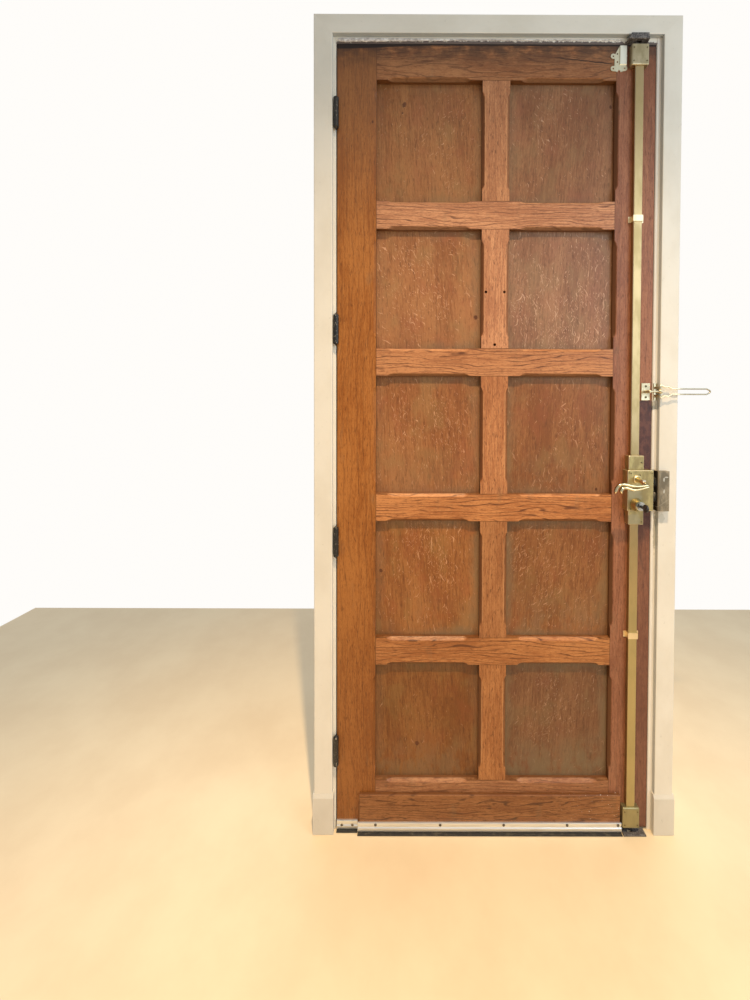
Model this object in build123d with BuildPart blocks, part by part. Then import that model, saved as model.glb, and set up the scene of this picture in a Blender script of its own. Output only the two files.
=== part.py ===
"""A five-row panelled front door leaf of framed hardwood, hung in its rebated timber frame.

The leaf opens into the room. On its room side it carries a surface three-point lock with a lever, a key
cylinder, two long rods in covers, a door guard, a weather board and draught strips.

X runs along the wall from the hinge side to the lock side, -Y points into the room and +Z up. The origin is
on the floor at the centre of the leaf, in the plane of the wall's face. Lengths are in millimetres.
"""

import os
from math import asin, cos, sin, sqrt

from build123d import *

os.makedirs("parts", exist_ok=True)

# Leaf and the gaps round it
leaf_width = 890.0
leaf_height = 2218.0
leaf_thickness = 42.0
floor_gap = 8.0
side_gap = 3.0
head_gap = 3.0

# Timbers of the leaf
stile_width = 110.0
top_rail_height = 98.0
cross_rail_height = 78.0
bottom_rail_height = 135.0
muntin_width = 78.0
row_count = 5

# Joinery of the leaf
panel_thickness = 12.0
groove_depth = 12.0
panel_play = 2.0
tenon_thickness = 14.0
tenon_length = 38.0
tenon_shoulder = 2.0
tenon_haunch = 24.0
tenon_end_gap = 1.0
muntin_tenon_length = 20.0

# Stopped chamfers round the panel openings
chamfer_width = 8.0
chamfer_stop = 30.0
chamfer_runout = 20.0

# Holes left by a fitting that was taken off the second muntin
old_screw_radius = 4.0
old_screw_depth = 10.0
old_screw_spacing = 52.0
old_screw_height = 159.0
old_screw_low_height = 11.0

# Door frame
jamb_width = 45.0
frame_depth = 90.0
stop_width = 12.0
stop_gap = 2.0
frame_arris = 2.0
head_tenon_length = 22.0

# Architraves and plinth blocks
architrave_width = 52.0
architrave_thickness = 12.0
architrave_round = 2.5
reveal_hinge_side = 11.0
reveal_lock_side = 15.0
reveal_head = 20.0
plinth_height = 114.0
plinth_thickness = 16.0
plinth_overhang = 3.0
plinth_splay = 10.0

# Lift-off hinges
hinge_count = 4
hinge_low_inset = 226.0
hinge_high_inset = 195.0
hinge_length = 80.0
hinge_split = 6.0
knuckle_radius = 7.5
knuckle_set_out = 8.0
finial_length = 7.0
hinge_pin_radius = 3.5
hinge_pin_clearance = 0.05
hinge_washer_gap = 0.3
flap_thickness = 2.0
flap_depth = 28.0

# Weather board and draught strips
weather_board_inset = 65.0
weather_board_box_gap = 3.0
weather_board_low = 12.0
weather_board_height = 95.0
weather_board_thickness = 8.0
strip_height = 25.0
strip_thickness = 4.5
strip_overhang = 4.0
strip_box_gap = 1.0
strip_low = 5.5
short_strip_low = 4.0
strip_joint_gap = 1.5
blade_thickness = 2.0
blade_reach = 8.0
blade_floor_gap = 0.6

# Three-point lock
rod_setback = 52.0
rod_width = 10.0
rod_thickness = 6.0
rod_centre_depth = 6.0
rod_throw = 22.0
rod_clearance = 0.3
cover_width = 24.0
cover_depth = 12.0
cover_wall = 1.2
case_setback = 7.0
case_width = 72.0
case_height = 113.0
case_depth = 26.0
case_low = 928.0
case_wall = 1.6
case_round = 2.0
case_arris = 1.4
collar_width = 42.0
collar_height = 40.0
collar_depth = 20.0
end_box_width = 48.0
end_box_height = 58.0
end_box_depth = 16.0
end_box_inset = 8.0
end_box_low = 20.0
end_box_round = 3.5
clip_width = 42.0
clip_height = 17.0
clip_thickness = 1.7
clip_upper_drop = 418.0
clip_lower_rise = 492.0

# Bolts inside the lock case
bolt_thickness = 12.0
bolt_centre_depth = 13.0
bolt_proud = 3.5
bolt_clearance = 0.2
latch_height = 20.0
latch_centre = 80.0
latch_tail = 36.0
latch_bevel = 8.0
dead_bolt_height = 23.0
dead_bolt_centre = 36.5
dead_bolt_tail = 31.0

# Lever handle
lever_setback = 53.0
lever_centre = 88.0
lever_boss_radius = 11.0
lever_boss_height = 4.0
lever_neck_radius = 6.5
lever_neck_clearance = 0.1
lever_neck_length = 36.0
lever_arm_thickness = 10.0
lever_hub_radius = 8.0
spindle_size = 8.0
follower_thickness = 10.0

# Key cylinder
cylinder_setback = 55.0
cylinder_centre = 18.0
cylinder_radius = 12.0
cylinder_proud = 23.0
cylinder_clearance = 0.1
rose_base_radius = 18.0
rose_front_radius = 14.5
rose_height = 20.0
outer_rose_height = 6.0
plug_radius = 6.5
plug_clearance = 0.05
plug_length = 44.0
keyway_width = 2.4
key_thickness = 2.0
key_blade_height = 8.0
key_blade_length = 28.0
key_neck_length = 10.0
key_bow_radius = 10.5
key_bow_thickness = 4.0

# Keepers
strike_width = 32.0
strike_depth = 28.0
strike_height = 111.0
strike_wall = 3.0
strike_bevel = 4.0
strike_mouth_clearance = 2.0
head_keeper_lead = 35.0
head_keeper_width = 60.0
head_keeper_depth = 18.0
head_keeper_taper_left = 10.0
head_keeper_taper_right = 2.0
floor_keeper_lead = 22.0
floor_keeper_width = 64.0
floor_keeper_depth = 19.0
floor_keeper_thickness = 4.0
keeper_hole_clearance = 1.0
keeper_round = 2.5

# Door guard
guard_above_case = 219.0
guard_plate_width = 25.0
guard_plate_height = 49.0
guard_plate_thickness = 3.0
guard_plate_setback = 18.5
guard_axis_set_out = 10.0
guard_axis_depth = 22.0
guard_post_radius = 4.0
guard_post_arris = 1.2
guard_arm_radius = 2.6
guard_ball_radius = 6.5
guard_lug_radius = 4.5
guard_lug_thickness = 5.0
guard_lug_gap = 17.0
guard_base_thickness = 2.5
guard_base_height = 48.0
hoop_wire_radius = 2.0
hoop_pin_clearance = 0.1
hoop_end_gap = 0.5
hoop_length = 138.5
hoop_shoulder = 2.5
hoop_wide_height = 35.0
hoop_waist_height = 24.0
hoop_waist_length = 12.5
hoop_swell_height = 27.0
hoop_swell_length = 9.5
hoop_taper_length = 11.0
hoop_slot_height = 15.0
hoop_tip_length = 10.0
hoop_tip_height = 3.0

# Small catch plate at the leaf's top corner
catch_setback = 83.0
catch_top_gap = 3.0
catch_thickness = 1.5
catch_tab_thickness = 3.5
catch_tab_arris = 0.6
catch_lobe_radius = 7.2
catch_screw_radius = 2.2

# Places that follow from the sizes above
leaf_left = -leaf_width / 2
leaf_right = leaf_width / 2
leaf_bottom = floor_gap
leaf_top = floor_gap + leaf_height
inner_half_width = leaf_width / 2 - stile_width
muntin_half_width = muntin_width / 2
opening_height = (
    leaf_height - top_rail_height - bottom_rail_height - (row_count - 1) * cross_rail_height
) / row_count
row_pitch = opening_height + cross_rail_height
row_tops = [leaf_top - top_rail_height - row * row_pitch for row in range(row_count)]
row_bottoms = [top - opening_height for top in row_tops]
groove_y = ((leaf_thickness - panel_thickness) / 2, (leaf_thickness + panel_thickness) / 2)
tenon_y = ((leaf_thickness - tenon_thickness) / 2, (leaf_thickness + tenon_thickness) / 2)
tenon_inset = groove_depth + tenon_shoulder
bays = [(-inner_half_width, -muntin_half_width), (muntin_half_width, inner_half_width)]

# Each rail's bottom, top and tenon, from the top of the leaf down
rail_edges = [(leaf_top - top_rail_height, leaf_top)]
rail_edges += [(top, bottom) for top, bottom in zip(row_tops[1:], row_bottoms[:-1])]
rail_edges += [(leaf_bottom, leaf_bottom + bottom_rail_height)]
rail_tenons = [(low + tenon_inset, high - tenon_inset) for low, high in rail_edges]
rail_tenons[0] = (rail_edges[0][0] + tenon_inset, leaf_top - tenon_haunch)
rail_tenons[-1] = (leaf_bottom + tenon_haunch, rail_edges[-1][1] - tenon_inset)

rod_x = leaf_right - rod_setback
rod_y = (-rod_centre_depth - rod_thickness / 2, -rod_centre_depth + rod_thickness / 2)
case_x = (leaf_right - case_setback - case_width, leaf_right - case_setback)
case_z = (case_low, case_low + case_height)
end_box_top = leaf_top - end_box_inset
lever_place = (leaf_right - lever_setback, case_low + lever_centre)
cylinder_place = (leaf_right - cylinder_setback, case_low + cylinder_centre)
bolt_y = (-bolt_centre_depth - bolt_thickness / 2, -bolt_centre_depth + bolt_thickness / 2)
bolt_tip = case_x[1] + bolt_proud
latch_z = (case_low + latch_centre - latch_height / 2, case_low + latch_centre + latch_height / 2)
dead_bolt_z = (
    case_low + dead_bolt_centre - dead_bolt_height / 2,
    case_low + dead_bolt_centre + dead_bolt_height / 2,
)
strike_x = (leaf_right + side_gap, leaf_right + side_gap + strike_width)
strike_z = (case_low, case_low + strike_height)
hinge_x = leaf_left - side_gap / 2
hinge_y = -knuckle_set_out
hinge_low = leaf_bottom + hinge_low_inset
hinge_pitch = (leaf_top - hinge_high_inset - hinge_low) / (hinge_count - 1)
hinge_heights = [hinge_low + number * hinge_pitch for number in range(hinge_count)]
guard_height = case_z[1] + guard_above_case
guard_axis_x = leaf_right + guard_axis_set_out
guard_plate_x = leaf_right - guard_plate_setback


def span(first, second):
    """The two limits in rising order."""
    return (min(first, second), max(first, second))


def about(centre, width):
    """The limits of a width that is centred on a place."""
    return (centre - width / 2, centre + width / 2)


def block(x, y, z, mode=Mode.ADD):
    """A rectangular block between three pairs of limits."""
    with Locations((sum(x) / 2, sum(y) / 2, sum(z) / 2)):
        Box(x[1] - x[0], y[1] - y[0], z[1] - z[0], mode=mode)


def bar_along_x(points, x):
    """A bar of constant section: an outline of (y, z) points carried from one x to another."""
    with BuildSketch(Plane.YZ.offset(x[0])) as section:
        with BuildLine():
            Polyline(*points, close=True)
        make_face()
    extrude(section.sketch, amount=x[1] - x[0])


def round_bar(place, radius, y, mode=Mode.ADD):
    """A cylinder along Y at an (x, z) place, between two y limits."""
    with BuildSketch(Plane.XZ.offset(-y[1])) as section:
        with Locations(place):
            Circle(radius)
    extrude(section.sketch, amount=y[1] - y[0], mode=mode)


def keep(piece, name):
    """Label a finished piece and write it to its own file."""
    piece.part.label = name
    export_step(piece.part, f"parts/{name}.step")


def stopped_chamfer(start, along, into, length):
    """Chamfer one arris of the room face at 45 degrees, with a curved run-out at each end.

    The cutter is the chamfer's side view, seen across the slope and extruded both ways. Each run-out is
    an arc that is tangent to the chamfer's full depth and leaves the arris at the stop.
    """
    along = Vector(*along)
    inward = (Vector(*into) + Vector(0, 1, 0)).normalized()
    depth = chamfer_width / sqrt(2)
    radius = (chamfer_runout**2 + depth**2) / (2 * depth)
    half_turn = asin(chamfer_runout / radius) / 2
    run = chamfer_runout - radius * sin(half_turn)
    rise = depth - radius * (1 - cos(half_turn))
    first = chamfer_stop
    last = length - chamfer_stop
    with BuildSketch(Plane(origin=start, x_dir=along, z_dir=along.cross(inward))) as side_view:
        with BuildLine():
            ThreePointArc((first, 0), (first + run, rise), (first + chamfer_runout, depth))
            Line((first + chamfer_runout, depth), (last - chamfer_runout, depth))
            ThreePointArc((last - chamfer_runout, depth), (last - run, rise), (last, 0))
            Polyline((last, 0), (last, -depth), (first, -depth), (first, 0))
        make_face()
    extrude(side_view.sketch, amount=chamfer_width, both=True, mode=Mode.SUBTRACT)


def flap_recesses(face_x, into):
    """Shallow beds in a timber's edge, one for each hinge flap."""
    for height in hinge_heights:
        bed = span(face_x, face_x + into * flap_thickness)
        block(bed, (0, flap_depth), about(height, hinge_length), Mode.SUBTRACT)


def make_stile(name, outer_x, inner_x):
    """One upright of the leaf, grooved and mortised on its inner edge."""
    inward = 1 if outer_x > inner_x else -1
    with BuildPart() as stile:
        with BuildSketch(Plane.XZ):
            with Locations(((outer_x + inner_x) / 2, leaf_bottom + leaf_height / 2)):
                Rectangle(stile_width, leaf_height)
        extrude(amount=-leaf_thickness)
        groove_z = (row_bottoms[-1] - groove_depth, row_tops[0] + groove_depth)
        block(span(inner_x, inner_x + inward * groove_depth), groove_y, groove_z, Mode.SUBTRACT)
        mortise_x = span(inner_x, inner_x + inward * (tenon_length + tenon_end_gap))
        for tenon_z in rail_tenons:
            block(mortise_x, tenon_y, tenon_z, Mode.SUBTRACT)
        for low in row_bottoms:
            stopped_chamfer((inner_x, 0, low), (0, 0, 1), (inward, 0, 0), opening_height)
        if outer_x == leaf_left:
            flap_recesses(leaf_left, 1)
        else:
            bore_radius = cylinder_radius + cylinder_clearance
            round_bar(cylinder_place, bore_radius, (0, leaf_thickness), Mode.SUBTRACT)
    keep(stile, name)


def make_rail(name, limits, tenon_z, panel_above, panel_below):
    """One level timber of the leaf, tenoned into both stiles and mortised for the muntins."""
    low, high = limits
    with BuildPart() as rail:
        with BuildSketch(Plane.XZ):
            with Locations((0, (low + high) / 2)):
                Rectangle(2 * inner_half_width, high - low)
        extrude(amount=-leaf_thickness)
        tenon_end = inner_half_width + tenon_length
        for side in (-1, 1):
            block(span(side * inner_half_width, side * tenon_end), tenon_y, tenon_z)
        muntin_mortise = about(0, muntin_width - 2 * tenon_inset)
        worked_edges = [(high, -1)] if panel_above else []
        worked_edges += [(low, 1)] if panel_below else []
        for edge, inward in worked_edges:
            groove_z = span(edge, edge + inward * groove_depth)
            block((-inner_half_width, inner_half_width), groove_y, groove_z, Mode.SUBTRACT)
            mortise_z = span(edge, edge + inward * (muntin_tenon_length + tenon_end_gap))
            block(muntin_mortise, tenon_y, mortise_z, Mode.SUBTRACT)
            for bay in bays:
                stopped_chamfer((bay[0], 0, edge), (1, 0, 0), (0, 0, inward), bay[1] - bay[0])
    keep(rail, name)


def make_muntin(name, low, high, has_old_screw_holes):
    """A short upright between two panels, with a stub tenon at each end."""
    with BuildPart() as muntin:
        with BuildSketch(Plane.XZ):
            with Locations((0, (low + high) / 2)):
                Rectangle(muntin_width, high - low)
        extrude(amount=-leaf_thickness)
        tenon_z = (low - muntin_tenon_length, high + muntin_tenon_length)
        block(about(0, muntin_width - 2 * tenon_inset), tenon_y, tenon_z)
        for side in (-1, 1):
            edge = side * muntin_half_width
            block(span(edge, edge - side * groove_depth), groove_y, (low, high), Mode.SUBTRACT)
            stopped_chamfer((edge, 0, low), (0, 0, 1), (-side, 0, 0), high - low)
        if has_old_screw_holes:
            holes = [(side * old_screw_spacing / 2, low + old_screw_height) for side in (-1, 1)]
            holes.append((0, low + old_screw_low_height))
            for place in holes:
                round_bar(place, old_screw_radius, (0, old_screw_depth), Mode.SUBTRACT)
    keep(muntin, name)


def make_panel(name, bay, low, high):
    """A flat panel, held loose in the grooves round its opening."""
    reach = groove_depth - panel_play
    with BuildPart() as panel:
        with BuildSketch(Plane.XZ.offset(-groove_y[0])):
            with Locations(((bay[0] + bay[1]) / 2, (low + high) / 2)):
                Rectangle(bay[1] - bay[0] + 2 * reach, high - low + 2 * reach)
        extrude(amount=-panel_thickness)
    keep(panel, name)


make_stile("hinge_stile", leaf_left, -inner_half_width)
make_stile("lock_stile", leaf_right, inner_half_width)
rail_names = ["top_rail"] + [f"cross_rail_{n}" for n in range(1, row_count)] + ["bottom_rail"]
for name, limits, tenon_z in zip(rail_names, rail_edges, rail_tenons):
    make_rail(name, limits, tenon_z, name != "top_rail", name != "bottom_rail")
for row, (low, high) in enumerate(zip(row_bottoms, row_tops), start=1):
    make_muntin(f"muntin_{row}", low, high, row == 2)
    make_panel(f"panel_{row}_left", bays[0], low, high)
    make_panel(f"panel_{row}_right", bays[1], low, high)

# The door frame: two rebated jambs and a head between them
rebate_half_width = leaf_width / 2 + side_gap
jamb_half_width = rebate_half_width + jamb_width
rebate_top = leaf_top + head_gap
frame_top = rebate_top + jamb_width
stop_y = leaf_thickness + stop_gap
head_tenon_z = (rebate_top + head_gap, frame_top - head_gap)


def make_jamb(name, side):
    """One upright of the door frame, rebated for the leaf, with an eased arris beside the leaf."""
    rebate_x = side * rebate_half_width
    stop_x = side * (rebate_half_width - stop_width)
    outer_x = side * jamb_half_width
    with BuildPart() as jamb:
        with BuildSketch(Plane.XY):
            with BuildLine():
                Polyline(
                    (outer_x, 0),
                    (rebate_x + side * frame_arris, 0),
                    (rebate_x, frame_arris),
                    (rebate_x, stop_y),
                    (stop_x, stop_y),
                    (stop_x, frame_depth),
                    (outer_x, frame_depth),
                    close=True,
                )
            make_face()
        extrude(amount=frame_top)
        mortise_x = span(rebate_x, rebate_x + side * (head_tenon_length + tenon_end_gap))
        block(mortise_x, tenon_y, head_tenon_z, Mode.SUBTRACT)
        if side < 0:
            flap_recesses(rebate_x, -1)
    keep(jamb, name)


make_jamb("hinge_jamb", -1)
make_jamb("lock_jamb", 1)

with BuildPart() as frame_head:
    head_front = [
        (0, rebate_top + frame_arris),
        (frame_arris, rebate_top),
        (stop_y, rebate_top),
        (stop_y, frame_top),
        (0, frame_top),
    ]
    bar_along_x(head_front, (-rebate_half_width, rebate_half_width))
    head_stop_x = rebate_half_width - stop_width
    block((-head_stop_x, head_stop_x), (stop_y, frame_depth), (rebate_top - stop_width, frame_top))
    head_tenon_end = rebate_half_width + head_tenon_length
    for side in (-1, 1):
        block(span(side * rebate_half_width, side * head_tenon_end), tenon_y, head_tenon_z)
keep(frame_head, "frame_head")

# Architraves, mitred at the top corners and standing on plinth blocks
trim_inner_left = leaf_left - reveal_hinge_side
trim_inner_right = leaf_right + reveal_lock_side
trim_inner_top = leaf_top + reveal_head
trim_outer_left = trim_inner_left - architrave_width
trim_outer_right = trim_inner_right + architrave_width
trim_outer_top = trim_inner_top + architrave_width


def make_architrave_leg(name, inner_x, outer_x, has_strike_notch):
    """An upright architrave board, mitred at its top, with rounded front arrises."""
    with BuildPart() as leg:
        with BuildSketch(Plane.XZ):
            with BuildLine():
                Polyline(
                    (outer_x, plinth_height),
                    (inner_x, plinth_height),
                    (inner_x, trim_inner_top),
                    (outer_x, trim_outer_top),
                    close=True,
                )
            make_face()
        extrude(amount=architrave_thickness)
        fillet(leg.edges().filter_by(Axis.Z).group_by(Axis.Y)[0], architrave_round)
        if has_strike_notch:
            block((inner_x, strike_x[1]), (-architrave_thickness, 0), strike_z, Mode.SUBTRACT)
    keep(leg, name)


make_architrave_leg("architrave_hinge_side", trim_inner_left, trim_outer_left, False)
make_architrave_leg("architrave_lock_side", trim_inner_right, trim_outer_right, True)

with BuildPart() as architrave_head:
    with BuildSketch(Plane.XZ):
        with BuildLine():
            Polyline(
                (trim_inner_left, trim_inner_top),
                (trim_inner_right, trim_inner_top),
                (trim_outer_right, trim_outer_top),
                (trim_outer_left, trim_outer_top),
                close=True,
            )
        make_face()
    extrude(amount=architrave_thickness)
    fillet(architrave_head.edges().filter_by(Axis.X).group_by(Axis.Y)[0], architrave_round)
keep(architrave_head, "architrave_head")

plinth_limits = {
    "plinth_block_hinge_side": (trim_outer_left - plinth_overhang, trim_inner_left + plinth_overhang),
    "plinth_block_lock_side": (trim_inner_right - plinth_overhang, trim_outer_right + plinth_overhang),
}
plinth_section = [
    (0, 0),
    (-plinth_thickness, 0),
    (-plinth_thickness, plinth_height - plinth_splay),
    (-architrave_thickness, plinth_height),
    (0, plinth_height),
]
for name, limits in plinth_limits.items():
    with BuildPart() as plinth_block:
        bar_along_x(plinth_section, limits)
    keep(plinth_block, name)

# Lift-off hinges: the lower knuckle on the frame holds a pin, and the upper one on the leaf turns on it
hinge_half_length = hinge_length / 2
pin_reach = hinge_half_length - finial_length
flap_root_y = (hinge_y + hinge_pin_radius + 1, 0)


def knuckle(height, limits, finial_side, bore_radius):
    """A turned knuckle with a shouldered, pointed finial at one end, bored from the other for the pin."""
    plain_end, finial_end = limits if finial_side > 0 else limits[::-1]
    shoulder_radius = knuckle_radius * 0.65
    axis_plane = Plane(origin=(hinge_x, hinge_y, height), x_dir=(1, 0, 0), z_dir=(0, -1, 0))
    with BuildSketch(axis_plane) as half_section:
        with BuildLine():
            Polyline(
                (bore_radius, plain_end),
                (knuckle_radius, plain_end),
                (knuckle_radius, finial_end),
                (shoulder_radius, finial_end + finial_side * finial_length * 0.25),
                (0, finial_end + finial_side * finial_length),
                (0, finial_side * pin_reach),
                (bore_radius, finial_side * pin_reach),
                close=True,
            )
        make_face()
    revolve(half_section.sketch, axis=Axis((hinge_x, hinge_y, height), (0, 0, 1)))


with BuildPart() as hinge_frame_halves:
    for height in hinge_heights:
        knuckle_z = (-hinge_half_length, hinge_split - hinge_washer_gap / 2)
        knuckle(height, knuckle_z, -1, hinge_pin_radius)
        flap_x = (-rebate_half_width - flap_thickness, -rebate_half_width)
        block(flap_x, (0, flap_depth), about(height, hinge_length))
        block(flap_x, flap_root_y, (height + knuckle_z[0], height + knuckle_z[1]))
keep(hinge_frame_halves, "hinge_frame_halves")

with BuildPart() as hinge_leaf_halves:
    for height in hinge_heights:
        knuckle_z = (hinge_split + hinge_washer_gap / 2, hinge_half_length)
        knuckle(height, knuckle_z, 1, hinge_pin_radius + hinge_pin_clearance)
        flap_x = (leaf_left, leaf_left + flap_thickness)
        block(flap_x, (0, flap_depth), about(height, hinge_length))
        block(flap_x, flap_root_y, (height + knuckle_z[0], height + knuckle_z[1]))
keep(hinge_leaf_halves, "hinge_leaf_halves")

with BuildPart() as hinge_pins:
    for height in hinge_heights:
        with Locations((hinge_x, hinge_y, height)):
            Cylinder(hinge_pin_radius, 2 * pin_reach - 2 * tenon_end_gap)
keep(hinge_pins, "hinge_pins")

# Weather board along the leaf's foot, and two extruded strips that each hold a rubber blade
bottom_box_left = rod_x - end_box_width / 2
board_x = (leaf_left + weather_board_inset, bottom_box_left - weather_board_box_gap)
board_front = -weather_board_thickness
board_top = weather_board_low + weather_board_height

with BuildPart() as weather_board:
    board_section = [
        (0, weather_board_low),
        (board_front, weather_board_low),
        (board_front, board_top - frame_arris),
        (board_front + frame_arris, board_top),
        (0, board_top),
    ]
    bar_along_x(board_section, board_x)
keep(weather_board, "weather_board")

strip_x = (board_x[0] - strip_overhang, bottom_box_left - strip_box_gap)
short_strip_x = (leaf_left, strip_x[0] - strip_joint_gap)
strip_places = [(strip_x, board_front, strip_low), (short_strip_x, 0, short_strip_low)]
blade_back = -(strip_thickness - blade_thickness) / 2
blade_front = blade_back - blade_thickness
blade_seat = strip_height * 0.2

with BuildPart() as draught_strips:
    for limits, back, low in strip_places:
        strip_section = [
            (0, strip_height),
            (-strip_thickness * 0.65, strip_height),
            (-strip_thickness * 0.85, strip_height * 0.93),
            (-strip_thickness * 0.85, strip_height * 0.66),
            (-strip_thickness * 0.65, strip_height * 0.61),
            (-strip_thickness * 0.65, strip_height * 0.45),
            (-strip_thickness, strip_height * 0.38),
            (-strip_thickness, 0),
            (blade_front, 0),
            (blade_front, blade_seat),
            (blade_back, blade_seat),
            (blade_back, 0),
            (0, 0),
        ]
        bar_along_x([(back + y, low + z) for y, z in strip_section], limits)
keep(draught_strips, "draught_strips")

with BuildPart() as draught_blades:
    for limits, back, low in strip_places:
        sole = blade_floor_gap - low
        blade_section = [
            (blade_back, blade_seat),
            (blade_back, sole * 0.6),
            (blade_front, sole),
            (blade_front - blade_reach, sole),
            (blade_front - blade_reach, sole + blade_thickness * 0.8),
            (blade_front - blade_thickness / 2, sole + blade_thickness * 0.9),
            (blade_front, sole + blade_thickness * 1.2),
            (blade_front, blade_seat),
        ]
        bar_along_x([(back + y, low + z) for y, z in blade_section], limits)
keep(draught_blades, "draught_blades")

# Lock case, rod covers and housings, all open towards the leaf
rod_slot_x = about(rod_x, rod_width + 2 * rod_clearance)
rod_slot_y = about(-rod_centre_depth, rod_thickness + 2 * rod_clearance)


def housing(x, depth, z, wall, corner_round, ease_front, front_size):
    """A pressed box, open at its back and slotted at both ends for the rod.

    Its front edges are eased by a fillet or a chamfer of the front size.
    """
    with BuildSketch(Plane.XZ) as outline:
        with Locations((sum(x) / 2, sum(z) / 2)):
            RectangleRounded(x[1] - x[0], z[1] - z[0], corner_round)
    extrude(outline.sketch, amount=depth)
    ease_front(faces(Select.LAST).sort_by(Axis.Y)[0].edges(), front_size)
    block((x[0] + wall, x[1] - wall), (wall - depth, 0), (z[0] + wall, z[1] - wall), Mode.SUBTRACT)
    block(rod_slot_x, rod_slot_y, z, Mode.SUBTRACT)


with BuildPart() as lock_case:
    housing(case_x, case_depth, case_z, case_wall, case_round, chamfer, case_arris)
    boss_front = -case_depth - lever_boss_height
    round_bar(lever_place, lever_boss_radius, (boss_front, case_wall - case_depth))
    chamfer(lock_case.faces().sort_by(Axis.Y)[0].edges(), lever_boss_height / 2)
    neck_hole_radius = lever_neck_radius + lever_neck_clearance
    round_bar(lever_place, neck_hole_radius, (boss_front, 0), Mode.SUBTRACT)
    round_bar(cylinder_place, cylinder_radius + cylinder_clearance, (-case_depth, 0), Mode.SUBTRACT)
    mouth_x = (case_x[1] - case_wall, case_x[1])
    mouth_y = (bolt_y[0] - bolt_clearance, bolt_y[1] + bolt_clearance)
    for low, high in (latch_z, dead_bolt_z):
        block(mouth_x, mouth_y, (low - bolt_clearance, high + bolt_clearance), Mode.SUBTRACT)
keep(lock_case, "lock_case")

upper_collar_z = (case_z[1], case_z[1] + collar_height)
lower_collar_z = (case_z[0] - collar_height, case_z[0])
with BuildPart() as rod_collars:
    for collar_z in (upper_collar_z, lower_collar_z):
        collar_x = about(rod_x, collar_width)
        housing(collar_x, collar_depth, collar_z, case_wall, case_round, chamfer, case_arris)
keep(rod_collars, "rod_collars")

top_box_z = (end_box_top - end_box_height, end_box_top)
bottom_box_z = (end_box_low, end_box_low + end_box_height)
with BuildPart() as rod_end_boxes:
    for box_z in (top_box_z, bottom_box_z):
        box_x = about(rod_x, end_box_width)
        housing(box_x, end_box_depth, box_z, case_wall, end_box_round, fillet, end_box_round)
keep(rod_end_boxes, "rod_end_boxes")

cover_limits = {
    "rod_cover_upper": (upper_collar_z[1], top_box_z[0]),
    "rod_cover_lower": (bottom_box_z[1], lower_collar_z[0]),
}
for name, (low, high) in cover_limits.items():
    with BuildPart() as rod_cover:
        block(about(rod_x, cover_width), (-cover_depth, 0), (low, high))
        fillet(rod_cover.edges().filter_by(Axis.Z).group_by(Axis.Y)[0], case_round)
        hollow_x = about(rod_x, cover_width - 2 * cover_wall)
        block(hollow_x, (cover_wall - cover_depth, 0), (low, high), Mode.SUBTRACT)
    keep(rod_cover, name)

with BuildPart() as rod_clips:
    for height in (top_box_z[0] - clip_upper_drop, bottom_box_z[1] + clip_lower_rise):
        clip_z = about(height, clip_height)
        saddle_x = about(rod_x, cover_width + 2 * clip_thickness)
        block(saddle_x, (-cover_depth - clip_thickness, 0), clip_z)
        block(about(rod_x, clip_width), (-clip_thickness, 0), clip_z)
        block(about(rod_x, cover_width), (-cover_depth, 0), clip_z, Mode.SUBTRACT)
keep(rod_clips, "rod_clips")

# The rods, drawn back at rest, with their tips inside the end boxes
upper_rod_z = (lever_place[1] + lever_hub_radius + 6, end_box_top - case_wall)
lower_rod_z = (end_box_low + case_wall + 0.4, case_z[0] - rod_throw / 2)
for name, rod_z in (("upper_rod", upper_rod_z), ("lower_rod", lower_rod_z)):
    with BuildPart() as rod:
        block(about(rod_x, rod_width), rod_y, rod_z)
        chamfer(rod.faces().sort_by(Axis.Z)[0].edges(), 1)
        chamfer(rod.faces().sort_by(Axis.Z)[-1].edges(), 1)
    keep(rod, name)

# The sprung latch, bevelled on the side that meets the strike, and the square dead bolt
with BuildPart() as latch_bolt:
    with BuildSketch(Plane.XY.offset(latch_z[0])):
        with BuildLine():
            Polyline(
                (bolt_tip - latch_tail, bolt_y[0]),
                (bolt_tip, bolt_y[0]),
                (bolt_tip, bolt_y[1] - latch_bevel),
                (bolt_tip - latch_bevel, bolt_y[1]),
                (bolt_tip - latch_tail, bolt_y[1]),
                close=True,
            )
        make_face()
    extrude(amount=latch_height)
keep(latch_bolt, "latch_bolt")

with BuildPart() as dead_bolt:
    block((bolt_tip - dead_bolt_tail, bolt_tip), bolt_y, dead_bolt_z)
    chamfer(dead_bolt.faces().sort_by(Axis.X)[-1].edges(), 1)
keep(dead_bolt, "dead_bolt")

# Lever handle: a round neck and a waved arm that ends in two curled lobes
neck_front = -case_depth - lever_neck_length
arm_y = (neck_front - lever_arm_thickness, neck_front)
follower_y = (-case_depth + case_wall + 1, -case_depth + case_wall + 1 + follower_thickness)


def lever_point(across, up):
    """A point of the arm's outline, measured from the centre of the neck."""
    return (lever_place[0] + across, lever_place[1] + up)


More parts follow.
